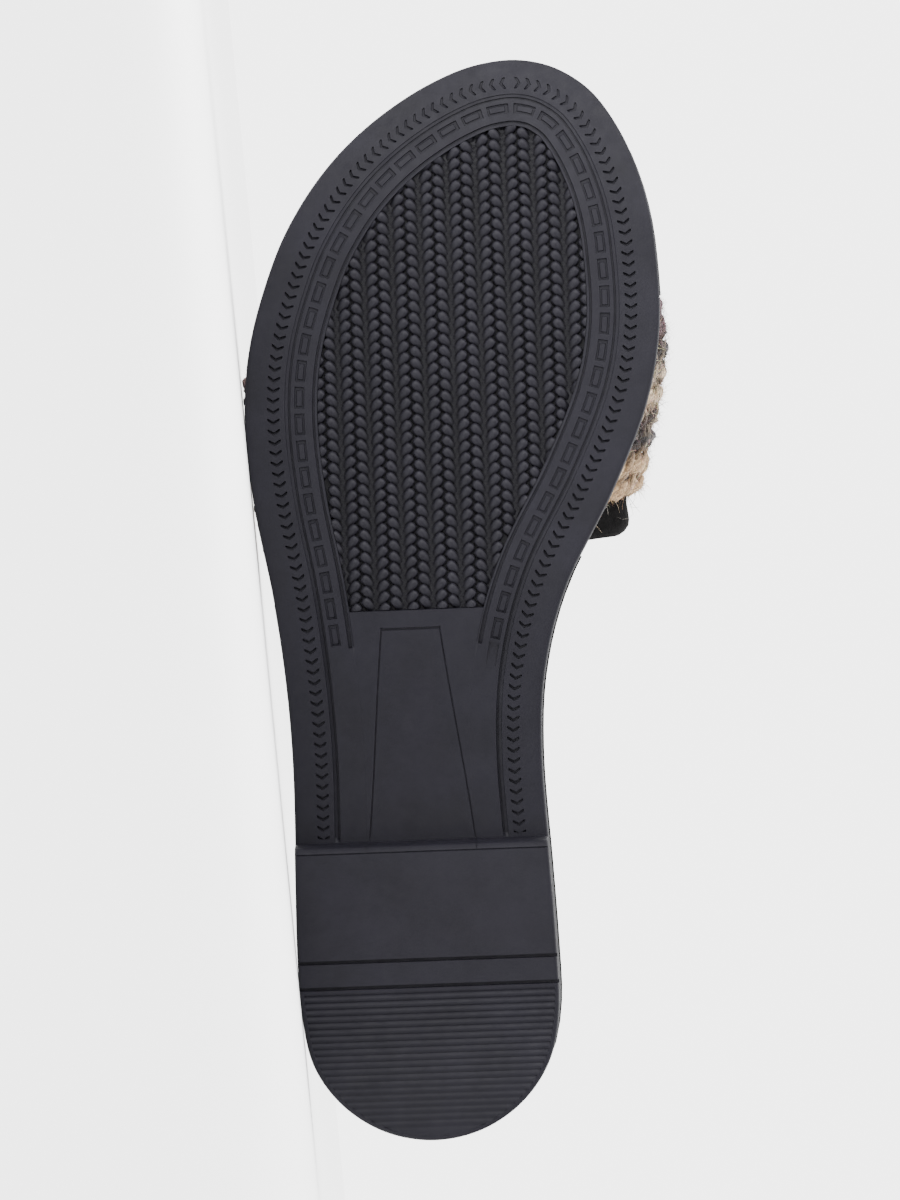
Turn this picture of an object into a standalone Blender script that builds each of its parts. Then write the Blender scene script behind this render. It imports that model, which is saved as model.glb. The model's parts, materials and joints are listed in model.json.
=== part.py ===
"""Toe loop sandal for the right foot, lying on its outer side.

The shoe is modelled standing on its sole: +X runs from heel to toe, +Y to the inner side of
the foot and +Z up from the ground, with the back of the heel at X = 0.  At the end an empty
lays it down on the outer edge of its sole and the outer bulge of its band.
"""
import math
from collections import namedtuple

import bmesh
import bpy
import numpy as np
from mathutils import Matrix, Vector

# Sole outline from above: where the outer and the inner edge lie at each place along the foot.
Edge = namedtuple("Edge", "along outer inner")
OUTLINE = [
    Edge(0.0300, -0.0295, 0.0312),
    Edge(0.0450, -0.0301, 0.0311),
    Edge(0.0620, -0.0299, 0.0304),
    Edge(0.0880, -0.0295, 0.0292),
    Edge(0.1080, -0.0303, 0.0307),
    Edge(0.1270, -0.0323, 0.0363),
    Edge(0.1480, -0.0358, 0.0475),
    Edge(0.1680, -0.0372, 0.0561),
    Edge(0.1860, -0.0351, 0.0597),
    Edge(0.2040, -0.0292, 0.0594),
    Edge(0.2160, -0.0229, 0.0576),
    Edge(0.2260, -0.0154, 0.0545),
    Edge(0.2340, -0.0071, 0.0507),
    Edge(0.2406, 0.0021, 0.0461),
    Edge(0.2452, 0.0107, 0.0405),
    Edge(0.2480, 0.0185, 0.0344),
]
TOE_TIP = (0.2491, 0.0270)
HEEL_RADIUS = 0.0304
HEEL_ACROSS = 0.0008
HEEL_TURNS = (22.0, 44.0, 66.0)

# Outsole heights: a low heel block, an arched waist, a flat forefoot and toe spring.
HEEL_SEAT = 0.0170
FORE_THICKNESS = 0.0058
SEAT_END = 0.0620
FORE_TOP_START = 0.1480
BREAST = 0.0684
BREAST_LEAN = 0.0009
WAIST_RISE = 0.0088
FORE_START = 0.1320
TOE_START = 0.2050
TOE_SPRING = 0.0056
WALL_DRAFT = 0.03
RIM_INSET = 0.0003
TREAD_CHAMFER = {"outer": 0.0014, "inner": 0.0008}
HEEL_GROOVES = (0.0364, 0.0424)
GROOVE_WIDTH = 0.0012
GROOVE_DEPTH = 0.0010
GROOVE_SLOPE = 0.0002
STATION_STEP = 0.0072
STATION_CLEARANCE = 0.0012

# Footbed, cut back at both sides where the band goes down to the outsole.
FOOTBED_THICKNESS = 0.0032
FOOTBED_ROUND = 0.0008
NOTCH_GAP = 0.0006
JOIN_GAP = 0.0003

# Instep band, from the rear lip (share 0) to the front edge (share 1): where its two ends
# meet the sole, how far the lining reaches out at its widest, and its height above the sole.
Band = namedtuple("Band", "share outer_along inner_along outer_reach inner_reach height")
BAND = [
    Band(0.00, 0.1257, 0.1343, -0.0288, 0.0499, 0.0540),
    Band(0.15, 0.1345, 0.1446, -0.0300, 0.0497, 0.0525),
    Band(0.50, 0.1530, 0.1650, -0.0323, 0.0545, 0.0480),
    Band(0.80, 0.1680, 0.1812, -0.0327, 0.0566, 0.0432),
    Band(1.00, 0.1780, 0.1920, -0.0328, 0.0550, 0.0400),
]
# One arch over the foot: share of the way from the outer to the inner end, share of the
# height, and how much of the outer and of the inner reach acts there.
Arch = namedtuple("Arch", "across up outer inner")
ARCH = [
    Arch(0.00, 0.00, 0.0, 0.0),
    Arch(0.00, 0.05, 0.0, 0.0),
    Arch(0.00, 0.20, 0.5, 0.0),
    Arch(0.00, 0.42, 1.0, 0.0),
    Arch(0.05, 0.70, 0.3, 0.0),
    Arch(0.22, 0.92, 0.0, 0.0),
    Arch(0.52, 1.00, 0.0, 0.0),
    Arch(0.80, 0.91, 0.0, 0.0),
    Arch(0.97, 0.64, 0.0, 0.6),
    Arch(1.00, 0.36, 0.0, 1.0),
    Arch(1.00, 0.18, 0.0, 0.5),
    Arch(1.00, 0.05, 0.0, 0.0),
    Arch(1.00, 0.00, 0.0, 0.0),
]
BAND_INSET = 0.0054
BAND_SEAT = 0.0008
BAND_LEAN = 0.13
LINING_THICKNESS = 0.0014
WEAVE_START = 0.15
WEAVE_GAP = 0.0004
WEAVE_THICKNESS = 0.0024
WEAVE_RELIEF = 0.00045
WEAVE_STRIPS = 9
WEAVE_CROSSINGS = 30

# Toe loop: a strap ring over the big toe, its legs let down through slots in the footbed.
LOOP_WEB = (0.2150, 0.0215)
LOOP_SIDE = (0.2100, 0.0475)
LOOP_HEIGHT = 0.0270
LOOP_BULGE = 0.0012
LOOP_WIDTH = 0.0130
LOOP_THICKNESS = 0.0018
LOOP_SLOT_DEPTH = 0.0100

PARTS_NAME = "toe_loop_sandal"
CUTTERS_NAME = "sandal_cutters"


def smooth_rows(rows, steps=10):
    """Rows of a table joined by a smooth curve and sampled densely between them."""
    knots = np.array(rows, dtype=float)
    padded = np.vstack([2 * knots[0] - knots[1], knots, 2 * knots[-1] - knots[-2]])
    samples = []
    for a, b, c, d in zip(padded, padded[1:], padded[2:], padded[3:]):
        for t in np.arange(steps) / steps:
            bend = 2 * b + (c - a) * t
            bend = bend + (2 * a - 5 * b + 4 * c - d) * t ** 2
            bend = bend + (3 * b - a - 3 * c + d) * t ** 3
            samples.append(bend / 2)
    samples.append(knots[-1])
    return np.array(samples)


def read_row(samples, key):
    """The columns of a sampled table at one value of its first column."""
    return [float(np.interp(key, samples[:, 0], column)) for column in samples.T[1:]]


def outline_points(side):
    """Table points of one edge of the sole, from the back of the heel towards the toe tip."""
    sign = -1.0 if side == "outer" else 1.0
    points = []
    for turn in HEEL_TURNS:
        angle = math.radians(turn)
        along = HEEL_RADIUS * (1 - math.cos(angle))
        points.append((along, HEEL_ACROSS + sign * HEEL_RADIUS * math.sin(angle)))
    points.extend((row.along, getattr(row, side)) for row in OUTLINE)
    return points


def outline_side(side):
    """One edge of the sole as a smooth curve to the toe tip, with its inward normals."""
    other = "inner" if side == "outer" else "outer"
    back = (0.0, HEEL_ACROSS)
    far = outline_points(other)
    path = [far[0], back] + outline_points(side) + [TOE_TIP, far[-1]]
    steps = 10
    curve = smooth_rows(path, steps)
    tangent = np.gradient(curve, axis=0)
    sign = -1.0 if side == "outer" else 1.0
    normal = np.column_stack([tangent[:, 1], -tangent[:, 0]]) * sign
    normal = normal / np.linalg.norm(normal, axis=1)[:, None]
    return np.column_stack([curve, normal])[steps:-steps]


SIDES = {"outer": outline_side("outer"), "inner": outline_side("inner")}


def rim(side, along, inset):
    """The point at a distance inside the sole's edge."""
    across, normal_x, normal_y = read_row(SIDES[side], along)
    direction = Vector((normal_x, normal_y)).normalized()
    return Vector((along, across)) + direction * inset


def ease(share):
    share = min(max(share, 0.0), 1.0)
    return share * share * (3 - 2 * share)


def toe_spring(along):
    share = max(along - TOE_START, 0.0) / (TOE_TIP[0] - TOE_START)
    return TOE_SPRING * share ** 2


def waist_under(along):
    return WAIST_RISE * ease((FORE_START - along) / (FORE_START - BREAST)) + toe_spring(along)


def outsole_top(along):
    fall = ease((FORE_TOP_START - along) / (FORE_TOP_START - SEAT_END))
    return FORE_THICKNESS + (HEEL_SEAT - FORE_THICKNESS) * fall + toe_spring(along)


def end_stations(reach):
    """Distances from a rounded end, closer together near its tip."""
    return [reach * (1 - math.cos(math.radians(a))) for a in (7, 17, 28, 40, 52, 65, 78)]


def stations(features):
    """Places of the cross-sections, keeping clear of the sharp features."""
    toe_reach = 0.016
    regular = end_stations(HEEL_RADIUS)
    regular += list(np.arange(HEEL_RADIUS, TOE_TIP[0] - toe_reach, STATION_STEP))
    regular += [TOE_TIP[0] - place for place in end_stations(toe_reach)]
    clear = [x for x in regular if all(abs(x - f) > STATION_CLEARANCE for f in features)]
    return sorted(clear + list(features))


def collection(name):
    group = bpy.data.collections.new(name)
    bpy.context.scene.collection.children.link(group)
    return group


def material(name, colour, roughness):
    finish = bpy.data.materials.new(name)
    finish.use_nodes = True
    shader = finish.node_tree.nodes["Principled BSDF"]
    shader.inputs["Base Color"].default_value = (*colour, 1.0)
    shader.inputs["Roughness"].default_value = roughness
    shader.inputs["Metallic"].default_value = 0.0
    return finish


def add_object(name, bm, group, finish=None):
    bmesh.ops.recalc_face_normals(bm, faces=bm.faces)
    mesh = bpy.data.meshes.new(name)
    bm.to_mesh(mesh)
    bm.free()
    piece = bpy.data.objects.new(name, mesh)
    if finish:
        mesh.materials.append(finish)
    group.objects.link(piece)
    return piece


def loft(sections):
    """A closed solid through rings of equal count, capped at both ends."""
    bm = bmesh.new()
    rings = [[bm.verts.new(point) for point in section] for section in sections]
    for ring, following in zip(rings, rings[1:]):
        for i in range(len(ring)):
            j = (i + 1) % len(ring)
            bm.faces.new((ring[i], ring[j], following[j], following[i]))
    bm.faces.new(rings[0])
    bm.faces.new(rings[-1])
    return bm


def rim_point(side, along, inset, height):
    place = rim(side, along, inset)
    return (place.x, place.y, height)


def outsole_levels():
    """Height of the underside at each cross-section, with the heel's grooves and breast."""
    levels = {BREAST - BREAST_LEAN: 0.0, BREAST + BREAST_LEAN: WAIST_RISE}
    for groove in HEEL_GROOVES:
        for sign in (-1, 1):
            lip = groove + sign * GROOVE_WIDTH / 2
            levels[lip] = 0.0
            levels[lip - sign * GROOVE_SLOPE] = GROOVE_DEPTH
    for x in stations(list(levels)):
        levels.setdefault(x, 0.0 if x < BREAST else waist_under(x))
    return sorted(levels.items())


def build_outsole(group, finish):
    sections = []
    for along, under in outsole_levels():
        top = outsole_top(along)
        rings = {}
        for side, chamfer in TREAD_CHAMFER.items():
            edge = under + chamfer
            wall = RIM_INSET + WALL_DRAFT * (top - edge)
            ring = [rim_point(side, along, wall + chamfer, under)]
            ring.append(rim_point(side, along, wall, edge))
            ring.append(rim_point(side, along, RIM_INSET, top))
            rings[side] = ring
        sections.append(rings["outer"] + rings["inner"][::-1])
    return add_object("outsole", loft(sections), group, finish)


def band_end(side, share):
    """Place along the sole where the band's edge at this share comes down."""
    row = read_row(BAND_ROWS, share)
    return row[0] if side == "outer" else row[1]


def build_footbed(group, finish):
    step = 0.00005
    margin = NOTCH_GAP + step
    notch = BAND_INSET + NOTCH_GAP
    spans = {}
    features = []
    for side in SIDES:
        start = band_end(side, 0.0) - margin
        end = band_end(side, 1.0) + margin + BAND_LEAN * FOOTBED_THICKNESS
        spans[side] = (start, end)
        features += [start - step, start + step, end - step, end + step]
    sections = []
    for along in stations(features):
        low = outsole_top(along) + JOIN_GAP
        high = low + FOOTBED_THICKNESS
        rings = {}
        for side, (start, end) in spans.items():
            inset = notch if start < along < end else 0.0
            ring = [rim_point(side, along, inset, low)]
            ring.append(rim_point(side, along, inset, high - FOOTBED_ROUND))
            ring.append(rim_point(side, along, inset + FOOTBED_ROUND, high))
            rings[side] = ring
        sections.append(rings["outer"] + rings["inner"][::-1])
    return add_object("footbed", loft(sections), group, finish)


def arch_point(ends, reaches, height, lean, across):
    """A point on the arch between two ends, at a share of the way over the foot."""
    share, up, outer, inner = read_row(ARCH_ROWS, across)
    start, finish = ends
    place = start.lerp(finish, share)
    place.y += outer * (reaches[0] - start.y) + inner * (reaches[1] - finish.y)
    place.z += up * height
    place.x += lean * up * height
    return place


def band_point(share, across):
    """A point on the inner face of the band's lining."""
    row = Band(share, *read_row(BAND_ROWS, share))
    ends = []
    for side, along in (("outer", row.outer_along), ("inner", row.inner_along)):
        place = rim(side, along, BAND_INSET)
        ends.append(Vector((place.x, place.y, outsole_top(place.x) + BAND_SEAT)))
    return arch_point(ends, (row.outer_reach, row.inner_reach), row.height, BAND_LEAN, across)


def outward(surface, share, across):
    """Unit normal of a surface of shares, pointing away from the foot."""
    step = 0.002
    low, high = max(share - step, 0.0), min(share + step, 1.0)
    left, right = max(across - step, 0.0), min(across + step, 1.0)
    forward = surface(high, across) - surface(low, across)
    over = surface(share, right) - surface(share, left)
    return forward.cross(over).normalized()


def sheet(surface, shares, across, lift):
    """An open sheet over the surface, raised off it by lift(row, column)."""
    bm = bmesh.new()
    bmesh.ops.create_grid(bm, x_segments=len(shares) - 1, y_segments=len(across) - 1, size=0.5)
    for vert in bm.verts:
        row = round((vert.co.x + 0.5) * (len(shares) - 1))
        column = round((vert.co.y + 0.5) * (len(across) - 1))
        u, v = shares[row], across[column]
        raised = lift(row, column)
        vert.co = surface(u, v) + outward(surface, u, v) * raised
    return bm


def thicken(piece, thickness, away):
    """Give an open sheet a wall on the side that faces away from the foot."""
    middle = piece.data.polygons[len(piece.data.polygons) // 2]
    facing = 1.0 if middle.normal.dot(away) > 0 else -1.0
    wall = piece.modifiers.new("wall", "SOLIDIFY")
    wall.thickness = thickness
    wall.offset = facing
    wall.use_even_offset = True
    return piece


def even_spread(surface, share, count):
    """Shares over the arch that divide its length evenly."""
    fine = np.linspace(0.0, 1.0, 400)
    places = [surface(share, v) for v in fine]
    run = np.cumsum([0.0] + [(b - a).length for a, b in zip(places, places[1:])])
    return list(np.interp(np.linspace(0.0, run[-1], count), run, fine))


def build_lining(group, finish):
    shares = np.linspace(0.0, 1.0, 8)
    across = even_spread(band_point, 0.5, 61)
    bm = sheet(band_point, shares, across, lambda row, column: 0.0)
    piece = add_object("band_lining", bm, group, finish)
    return thicken(piece, LINING_THICKNESS, outward(band_point, 0.5, 0.5))


def build_woven_band(group, finish):
    """The tweed wall: strips that rise and dip by turns where they cross."""
    shares = np.linspace(WEAVE_START, 1.0, 2 * WEAVE_STRIPS + 1)
    across = even_spread(band_point, 0.5, 2 * WEAVE_CROSSINGS + 1)
    base = LINING_THICKNESS + WEAVE_GAP + WEAVE_RELIEF

    def raised(row, column):
        if row % 2 == 0 or column % 2 == 0:
            return base - WEAVE_RELIEF
        over = (row // 2 + column // 2) % 2 == 0
        return base + (WEAVE_RELIEF if over else WEAVE_RELIEF / 2)

    bm = sheet(band_point, shares, across, raised)
    piece = add_object("woven_band", bm, group, finish)
    return thicken(piece, WEAVE_THICKNESS, outward(band_point, 0.5, 0.5))


def loop_point(share, across):
    """A point on the inner face of the toe loop."""
    shift = (share - 0.5) * LOOP_WIDTH
    ends = []
    for along, side in (LOOP_WEB, LOOP_SIDE):
        floor = outsole_top(along + shift) + JOIN_GAP
        ends.append(Vector((along + shift, side, floor)))
    reaches = (LOOP_WEB[1] - LOOP_BULGE, LOOP_SIDE[1] + LOOP_BULGE)
    return arch_point(ends, reaches, LOOP_HEIGHT, 0.0, across)


def build_toe_loop(group, finish):
    shares = np.linspace(0.0, 1.0, 4)
    across = even_spread(loop_point, 0.5, 31)
    bm = sheet(loop_point, shares, across, lambda row, column: 0.0)
    piece = add_object("toe_loop", bm, group, finish)
    return thicken(piece, LOOP_THICKNESS, outward(loop_point, 0.5, 0.5))


def cut_loop_slots(footbed, group):
    """Two slots through the footbed that take the legs of the toe loop."""
    for (along, side), sign in ((LOOP_WEB, -1.0), (LOOP_SIDE, 1.0)):
        bm = bmesh.new()
        bmesh.ops.create_cube(bm, size=1.0)
        width = LOOP_THICKNESS + 3 * JOIN_GAP
        length = LOOP_WIDTH + 2 * JOIN_GAP
        bmesh.ops.scale(bm, verts=bm.verts, vec=(length, width, LOOP_SLOT_DEPTH))
        centre = Vector((along, side + sign * (LOOP_THICKNESS + JOIN_GAP) / 2, 0.0))
        centre.z = outsole_top(along) + FOOTBED_THICKNESS / 2
        bmesh.ops.translate(bm, verts=bm.verts, vec=centre)
        cutter = add_object("loop_slot_cutter", bm, group)
        cutter.display_type = "WIRE"
        cutter.hide_render = True
        cut = footbed.modifiers.new("loop slot", "BOOLEAN")
        cut.operation = "DIFFERENCE"
        cut.solver = "EXACT"
        cut.object = cutter


def lie_down(pieces, group):
    """Lay the shoe on the broad facet that closes its outer side, sole facing -Y."""
    graph = bpy.context.evaluated_depsgraph_get()
    bm = bmesh.new()
    for piece in pieces:
        bm.from_mesh(piece.evaluated_get(graph).to_mesh())
    points = [vert.co.copy() for vert in bm.verts]
    bmesh.ops.convex_hull(bm, input=bm.verts)
    bmesh.ops.delete(bm, geom=[v for v in bm.verts if not v.link_faces], context="VERTS")
    outer = [face for face in bm.faces if face.normal.y < -0.95]
    ground = max(outer, key=lambda face: face.calc_area())
    down = ground.normal.copy()
    bm.free()
    up = -down
    back = Vector((-1.0, 0.0, 0.0))
    toe_side = (back - up * back.dot(up)).normalized()
    turn = Matrix((toe_side, up.cross(toe_side), up))
    placed = [turn @ point for point in points]
    low = Vector([min(p[k] for p in placed) for k in range(3)])
    high = Vector([max(p[k] for p in placed) for k in range(3)])
    offset = Vector((-(low.x + high.x) / 2, -(low.y + high.y) / 2, -low.z))
    frame = bpy.data.objects.new("lying_frame", None)
    frame.matrix_world = Matrix.Translation(offset) @ turn.to_4x4()
    group.objects.link(frame)
    for piece in pieces:
        piece.parent = frame
    return frame


BAND_ROWS = smooth_rows(BAND)
ARCH_ROWS = smooth_rows([(i / (len(ARCH) - 1), *row) for i, row in enumerate(ARCH)])


def main():
    for leftover in list(bpy.data.objects):
        bpy.data.objects.remove(leftover, do_unlink=True)
    parts = collection(PARTS_NAME)
    cutters = collection(CUTTERS_NAME)
    rubber = material("black_rubber", (0.035, 0.033, 0.038), 0.55)
    cover = material("black_cover", (0.020, 0.019, 0.021), 0.60)
    velvet = material("black_velvet", (0.012, 0.011, 0.012), 0.90)
    tweed = material("tweed", (0.480, 0.390, 0.320), 0.95)
    strap = material("black_strap", (0.014, 0.013, 0.014), 0.85)
    outsole = build_outsole(parts, rubber)
    footbed = build_footbed(parts, cover)
    cut_loop_slots(footbed, cutters)
    lining = build_lining(parts, velvet)
    weave = build_woven_band(parts, tweed)
    loop = build_toe_loop(parts, strap)
    bpy.context.view_layer.update()
    frame = lie_down([outsole, footbed, lining, weave, loop], parts)
    for cutter in cutters.objects:
        cutter.parent = frame


main()
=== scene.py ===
# %% [markdown]
# # A toe loop sandal, seen from below
# The sandal is a flat black rubber sole with a moulded tread, a thin black footbed, a wide
# band of tweed over the instep with a velvet lining, and a small strap ring for the big toe.
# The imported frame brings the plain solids.  Here each of them gets the form and the surface
# that the real piece has, at the same place and size.

# %% Load the frame
import json
import math
import random
from collections import namedtuple

import bmesh
import bpy
import numpy as np
from mathutils import Matrix, Vector


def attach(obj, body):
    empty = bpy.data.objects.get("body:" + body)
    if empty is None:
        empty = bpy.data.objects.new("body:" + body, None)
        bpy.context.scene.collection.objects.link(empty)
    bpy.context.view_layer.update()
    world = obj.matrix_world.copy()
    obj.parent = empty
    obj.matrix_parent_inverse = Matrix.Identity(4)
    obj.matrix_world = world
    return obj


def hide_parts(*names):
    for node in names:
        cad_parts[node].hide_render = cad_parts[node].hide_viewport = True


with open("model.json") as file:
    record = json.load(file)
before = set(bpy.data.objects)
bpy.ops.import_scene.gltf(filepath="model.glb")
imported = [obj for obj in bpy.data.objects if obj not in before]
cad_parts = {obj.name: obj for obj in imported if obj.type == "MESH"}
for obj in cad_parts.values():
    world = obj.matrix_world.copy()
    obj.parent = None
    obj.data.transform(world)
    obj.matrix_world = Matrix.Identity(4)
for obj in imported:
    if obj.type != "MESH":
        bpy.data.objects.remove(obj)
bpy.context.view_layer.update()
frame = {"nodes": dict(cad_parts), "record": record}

MM = 0.001
print("frame:", sorted(frame["nodes"]))

# %% [markdown]
# ## Where the sandal lies
# It is easier to think of a shoe that stands on its sole: X runs from heel to toe, Y towards
# the inner side of the foot, Z up.  The sandal itself lies on its outer side, and the two flat
# pads on its tread say where.  Every mesh is made upright and moved as a whole at the end.

# %% From the standing shoe to the lying one
PAD_HEEL = Vector((0.054, 0.0006, 0.0))
PAD_FORE = Vector((0.168, 0.010, 0.0))


def lying_place():
    pads = {mount["name"]: mount for mount in frame["record"]["mounts"]}
    heel = Vector(pads["heel_tread"]["pos_m"])
    fore = Vector(pads["forefoot_tread"]["pos_m"])
    up = -Vector(pads["heel_tread"]["axis"]).normalized()
    step = PAD_FORE - PAD_HEEL
    toward_toe = Matrix.Rotation(-math.atan2(step.y, step.x), 3, up) @ (fore - heel)
    toward_toe = (toward_toe - up * toward_toe.dot(up)).normalized()
    turn = Matrix((toward_toe, up.cross(toward_toe), up)).transposed().to_4x4()
    return Matrix.Translation(heel) @ turn @ Matrix.Translation(-PAD_HEEL)


LYING = lying_place()
print("toe points along", [round(v, 3) for v in LYING.to_3x3().col[0]])

# %% [markdown]
# ## The outline of the sole
# A sole is cut from a paper pattern.  The pattern here is a short table of edge points,
# joined by one smooth closed curve that starts at the back of the heel, runs along the
# outer side to the toe tip and comes back along the inner side.  Each point also knows which
# way is inward, so that a row of the tread can follow the edge at its own distance.

# %% The pattern of the sole
Edge = namedtuple("Edge", "along outer inner")
OUTLINE = [
    Edge(0.0300, -0.0295, 0.0312),
    Edge(0.0450, -0.0301, 0.0311),
    Edge(0.0620, -0.0299, 0.0304),
    Edge(0.0880, -0.0295, 0.0292),
    Edge(0.1080, -0.0303, 0.0307),
    Edge(0.1270, -0.0323, 0.0363),
    Edge(0.1480, -0.0358, 0.0475),
    Edge(0.1680, -0.0372, 0.0561),
    Edge(0.1860, -0.0351, 0.0597),
    Edge(0.2040, -0.0292, 0.0594),
    Edge(0.2160, -0.0229, 0.0576),
    Edge(0.2260, -0.0154, 0.0545),
    Edge(0.2340, -0.0071, 0.0507),
    Edge(0.2406, 0.0021, 0.0461),
    Edge(0.2452, 0.0107, 0.0405),
    Edge(0.2480, 0.0185, 0.0344),
]
TOE_TIP = (0.2491, 0.0270)
HEEL_RADIUS = 0.0304
HEEL_ACROSS = 0.0008
HEEL_TURNS = (22.0, 44.0, 66.0)
STEPS = 16
SIDES = {"outer": -1.0, "inner": 1.0}


def side_points(side):
    points = []
    for turn in HEEL_TURNS:
        angle = math.radians(turn)
        along = HEEL_RADIUS * (1 - math.cos(angle))
        points.append((along, HEEL_ACROSS + SIDES[side] * HEEL_RADIUS * math.sin(angle)))
    return points + [(row.along, getattr(row, side)) for row in OUTLINE]


def curve_through(points, steps):
    """A smooth curve through a list of points; the first and last only guide its ends."""
    knots = np.array(points, dtype=float)
    t = (np.arange(steps) / steps)[:, None]
    pieces = []
    for a, b, c, d in zip(knots, knots[1:], knots[2:], knots[3:]):
        bend = 2 * b + (c - a) * t + (2 * a - 5 * b + 4 * c - d) * t ** 2
        pieces.append((bend + (3 * b - a - 3 * c + d) * t ** 3) / 2)
    return np.vstack(pieces + [knots[-2:-1]])


def sole_edge():
    """Rows of x, y and the unit direction inward, all the way round."""
    outer, inner = side_points("outer"), side_points("inner")[::-1]
    loop = [(0.0, HEEL_ACROSS)] + outer + [TOE_TIP] + inner
    curve = curve_through([loop[-1]] + loop + loop[:2], STEPS)
    tangent = np.roll(curve[:-1], -1, axis=0) - np.roll(curve[:-1], 1, axis=0)
    tangent = np.vstack([tangent, tangent[:1]])
    inward = np.column_stack([-tangent[:, 1], tangent[:, 0]])
    return np.column_stack([curve, inward / np.linalg.norm(inward, axis=1)[:, None]])


def lengths_along(line):
    """Length from the first point of a line to each of its points."""
    return np.concatenate([[0.0], np.cumsum(np.linalg.norm(np.diff(line, axis=0), axis=1))])


EDGE = sole_edge()
ROUND = len(EDGE) - 1
TOE_PLACE = (len(OUTLINE) + len(HEEL_TURNS) + 1) * STEPS
PLACES = np.arange(len(EDGE))
print("edge of", len(EDGE), "points,", round(float(lengths_along(EDGE[:, :2])[-1]), 3), "m round")

# %% Places round the edge
TOE_SHIFT = 0.0011
SHIFT_FROM, SHIFT_OVER = 0.002, 0.004


def set_in(inset, nx):
    """The mould of the tread sits a little further to the toe than the edge does."""
    share = min(max((inset - SHIFT_FROM) / SHIFT_OVER, 0.0), 1.0)
    return inset + TOE_SHIFT * np.minimum(nx, 0.0) * share


def edge_at(place, inset):
    """The point at a distance inside the sole's edge, at a place round the edge."""
    place = place % ROUND
    x, y, nx, ny = (float(np.interp(place, PLACES, EDGE[:, k])) for k in range(4))
    size = math.hypot(nx, ny)
    inset = float(set_in(inset, nx / size))
    return x + inset * nx / size, y + inset * ny / size


def place_of(side, along):
    """The place round the edge where one side passes a distance from the heel."""
    if side == "outer":
        return float(np.interp(along, EDGE[:TOE_PLACE, 0], PLACES[:TOE_PLACE]))
    return float(np.interp(along, EDGE[:TOE_PLACE:-1, 0], PLACES[:TOE_PLACE:-1]))


def edge_half(side):
    """The edge samples of one side, from heel to toe."""
    return EDGE[:TOE_PLACE + 1] if side == "outer" else EDGE[TOE_PLACE:][::-1]


def across_at(side, along, inset):
    """How far across a line that follows one side lies, at a distance from the heel."""
    half = edge_half(side)
    step = set_in(inset, half[:, 2])
    return float(np.interp(along, half[:, 0] + step * half[:, 2], half[:, 1] + step * half[:, 3]))


def both_edges(along, inset):
    return [across_at(side, along, inset) for side in SIDES]


def inner_line(inset):
    """The whole closed line at a distance inside the edge."""
    return EDGE[:, :2] + set_in(inset, EDGE[:, 2])[:, None] * EDGE[:, 2:]


def run_round(inset):
    """Length along a line inside the edge, counted from the toe tip, at every edge sample."""
    run = lengths_along(inner_line(inset))
    return run - run[TOE_PLACE]


def run_at(side, along, runs):
    return float(np.interp(place_of(side, along), PLACES, runs))


def place_at(run, runs):
    return float(np.interp(run, runs, PLACES))


print("heel is", round((across_at("inner", 0.045, 0.0) - across_at("outer", 0.045, 0.0)) / MM, 1), "mm wide")

# %% [markdown]
# ## Heights of the sole
# The heel is a low block, the waist behind the ball of the foot arches off the ground and the
# toe lifts a little.  A few short functions give the height of the ground side and of the top
# side anywhere, so that every later piece meets its neighbour.

# %% Ground side and top side
HEEL_SEAT = 0.0170
FORE_THICKNESS = 0.0058
SEAT_END = 0.0620
FORE_TOP_START = 0.1480
BREAST = 0.0684
BREAST_LEAN = 0.0009
BREAST_FOOT = BREAST + 1.2 * BREAST_LEAN
BREAST_FADE = 0.0006
WAIST_RISE = 0.0088
FORE_START = 0.1320
TOE_START = 0.2050
TOE_SPRING = 0.0056
# The heel breast in profile: a fine seam, a chamfer that catches the light, a steep wall.
BREAST_PROFILE = np.array([
    (0.0671, 0.0), (0.0672, 0.04), (0.0673, 0.04), (0.0674, 0.008), (0.0684, 0.09),
    (0.0688, 0.16), (BREAST + BREAST_LEAN, 1.0),
])
BREAST_STATIONS = list(BREAST_PROFILE[:, 0]) + [BREAST_FOOT, BREAST + 0.0019]


def ease(share):
    share = min(max(share, 0.0), 1.0)
    return share * share * (3 - 2 * share)


def toe_spring(along):
    return TOE_SPRING * (max(along - TOE_START, 0.0) / (TOE_TIP[0] - TOE_START)) ** 2


def sole_top(along):
    fall = ease((FORE_TOP_START - along) / (FORE_TOP_START - SEAT_END))
    return FORE_THICKNESS + (HEEL_SEAT - FORE_THICKNESS) * fall + toe_spring(along)


def tread_level(along):
    """Height of the ground side: heel block, slanted heel breast, arched waist, forefoot."""
    waist = WAIST_RISE * ease((FORE_START - along) / (FORE_START - BREAST))
    return waist * float(np.interp(along, *BREAST_PROFILE.T)) + toe_spring(along)


def past_breast(along):
    """0 on the heel breast and behind it, 1 on the waist and in front of it."""
    return ease((along - BREAST_FOOT) / BREAST_FADE)


print("waist rises", round(tread_level(0.075) / MM, 1), "mm above the ground")

# %% [markdown]
# ## A few small tools
# Most of the moulded pieces start as a flat grid whose corners are then moved into place,
# the way a sheet of rubber is pressed into a mould.  Another tool pulls a sheet out into a
# slab.  The last one turns a finished mesh into a named piece, lays it down with the shoe
# and hides the solid of the frame that it stands for.

# %% Press a grid, finish a piece
def pressed_grid(bm, columns, rows, place):
    """Lay a grid and move its corner (i, j) to place(columns[i], rows[j])."""
    wide, deep = len(columns) - 1, len(rows) - 1
    made = bmesh.ops.create_grid(bm, x_segments=wide, y_segments=deep, size=0.5)
    for vert in made["verts"]:
        column = columns[round((vert.co.x + 0.5) * wide)]
        row = rows[round((vert.co.y + 0.5) * deep)]
        vert.co = place(column, row)
    return made["verts"]


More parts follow.
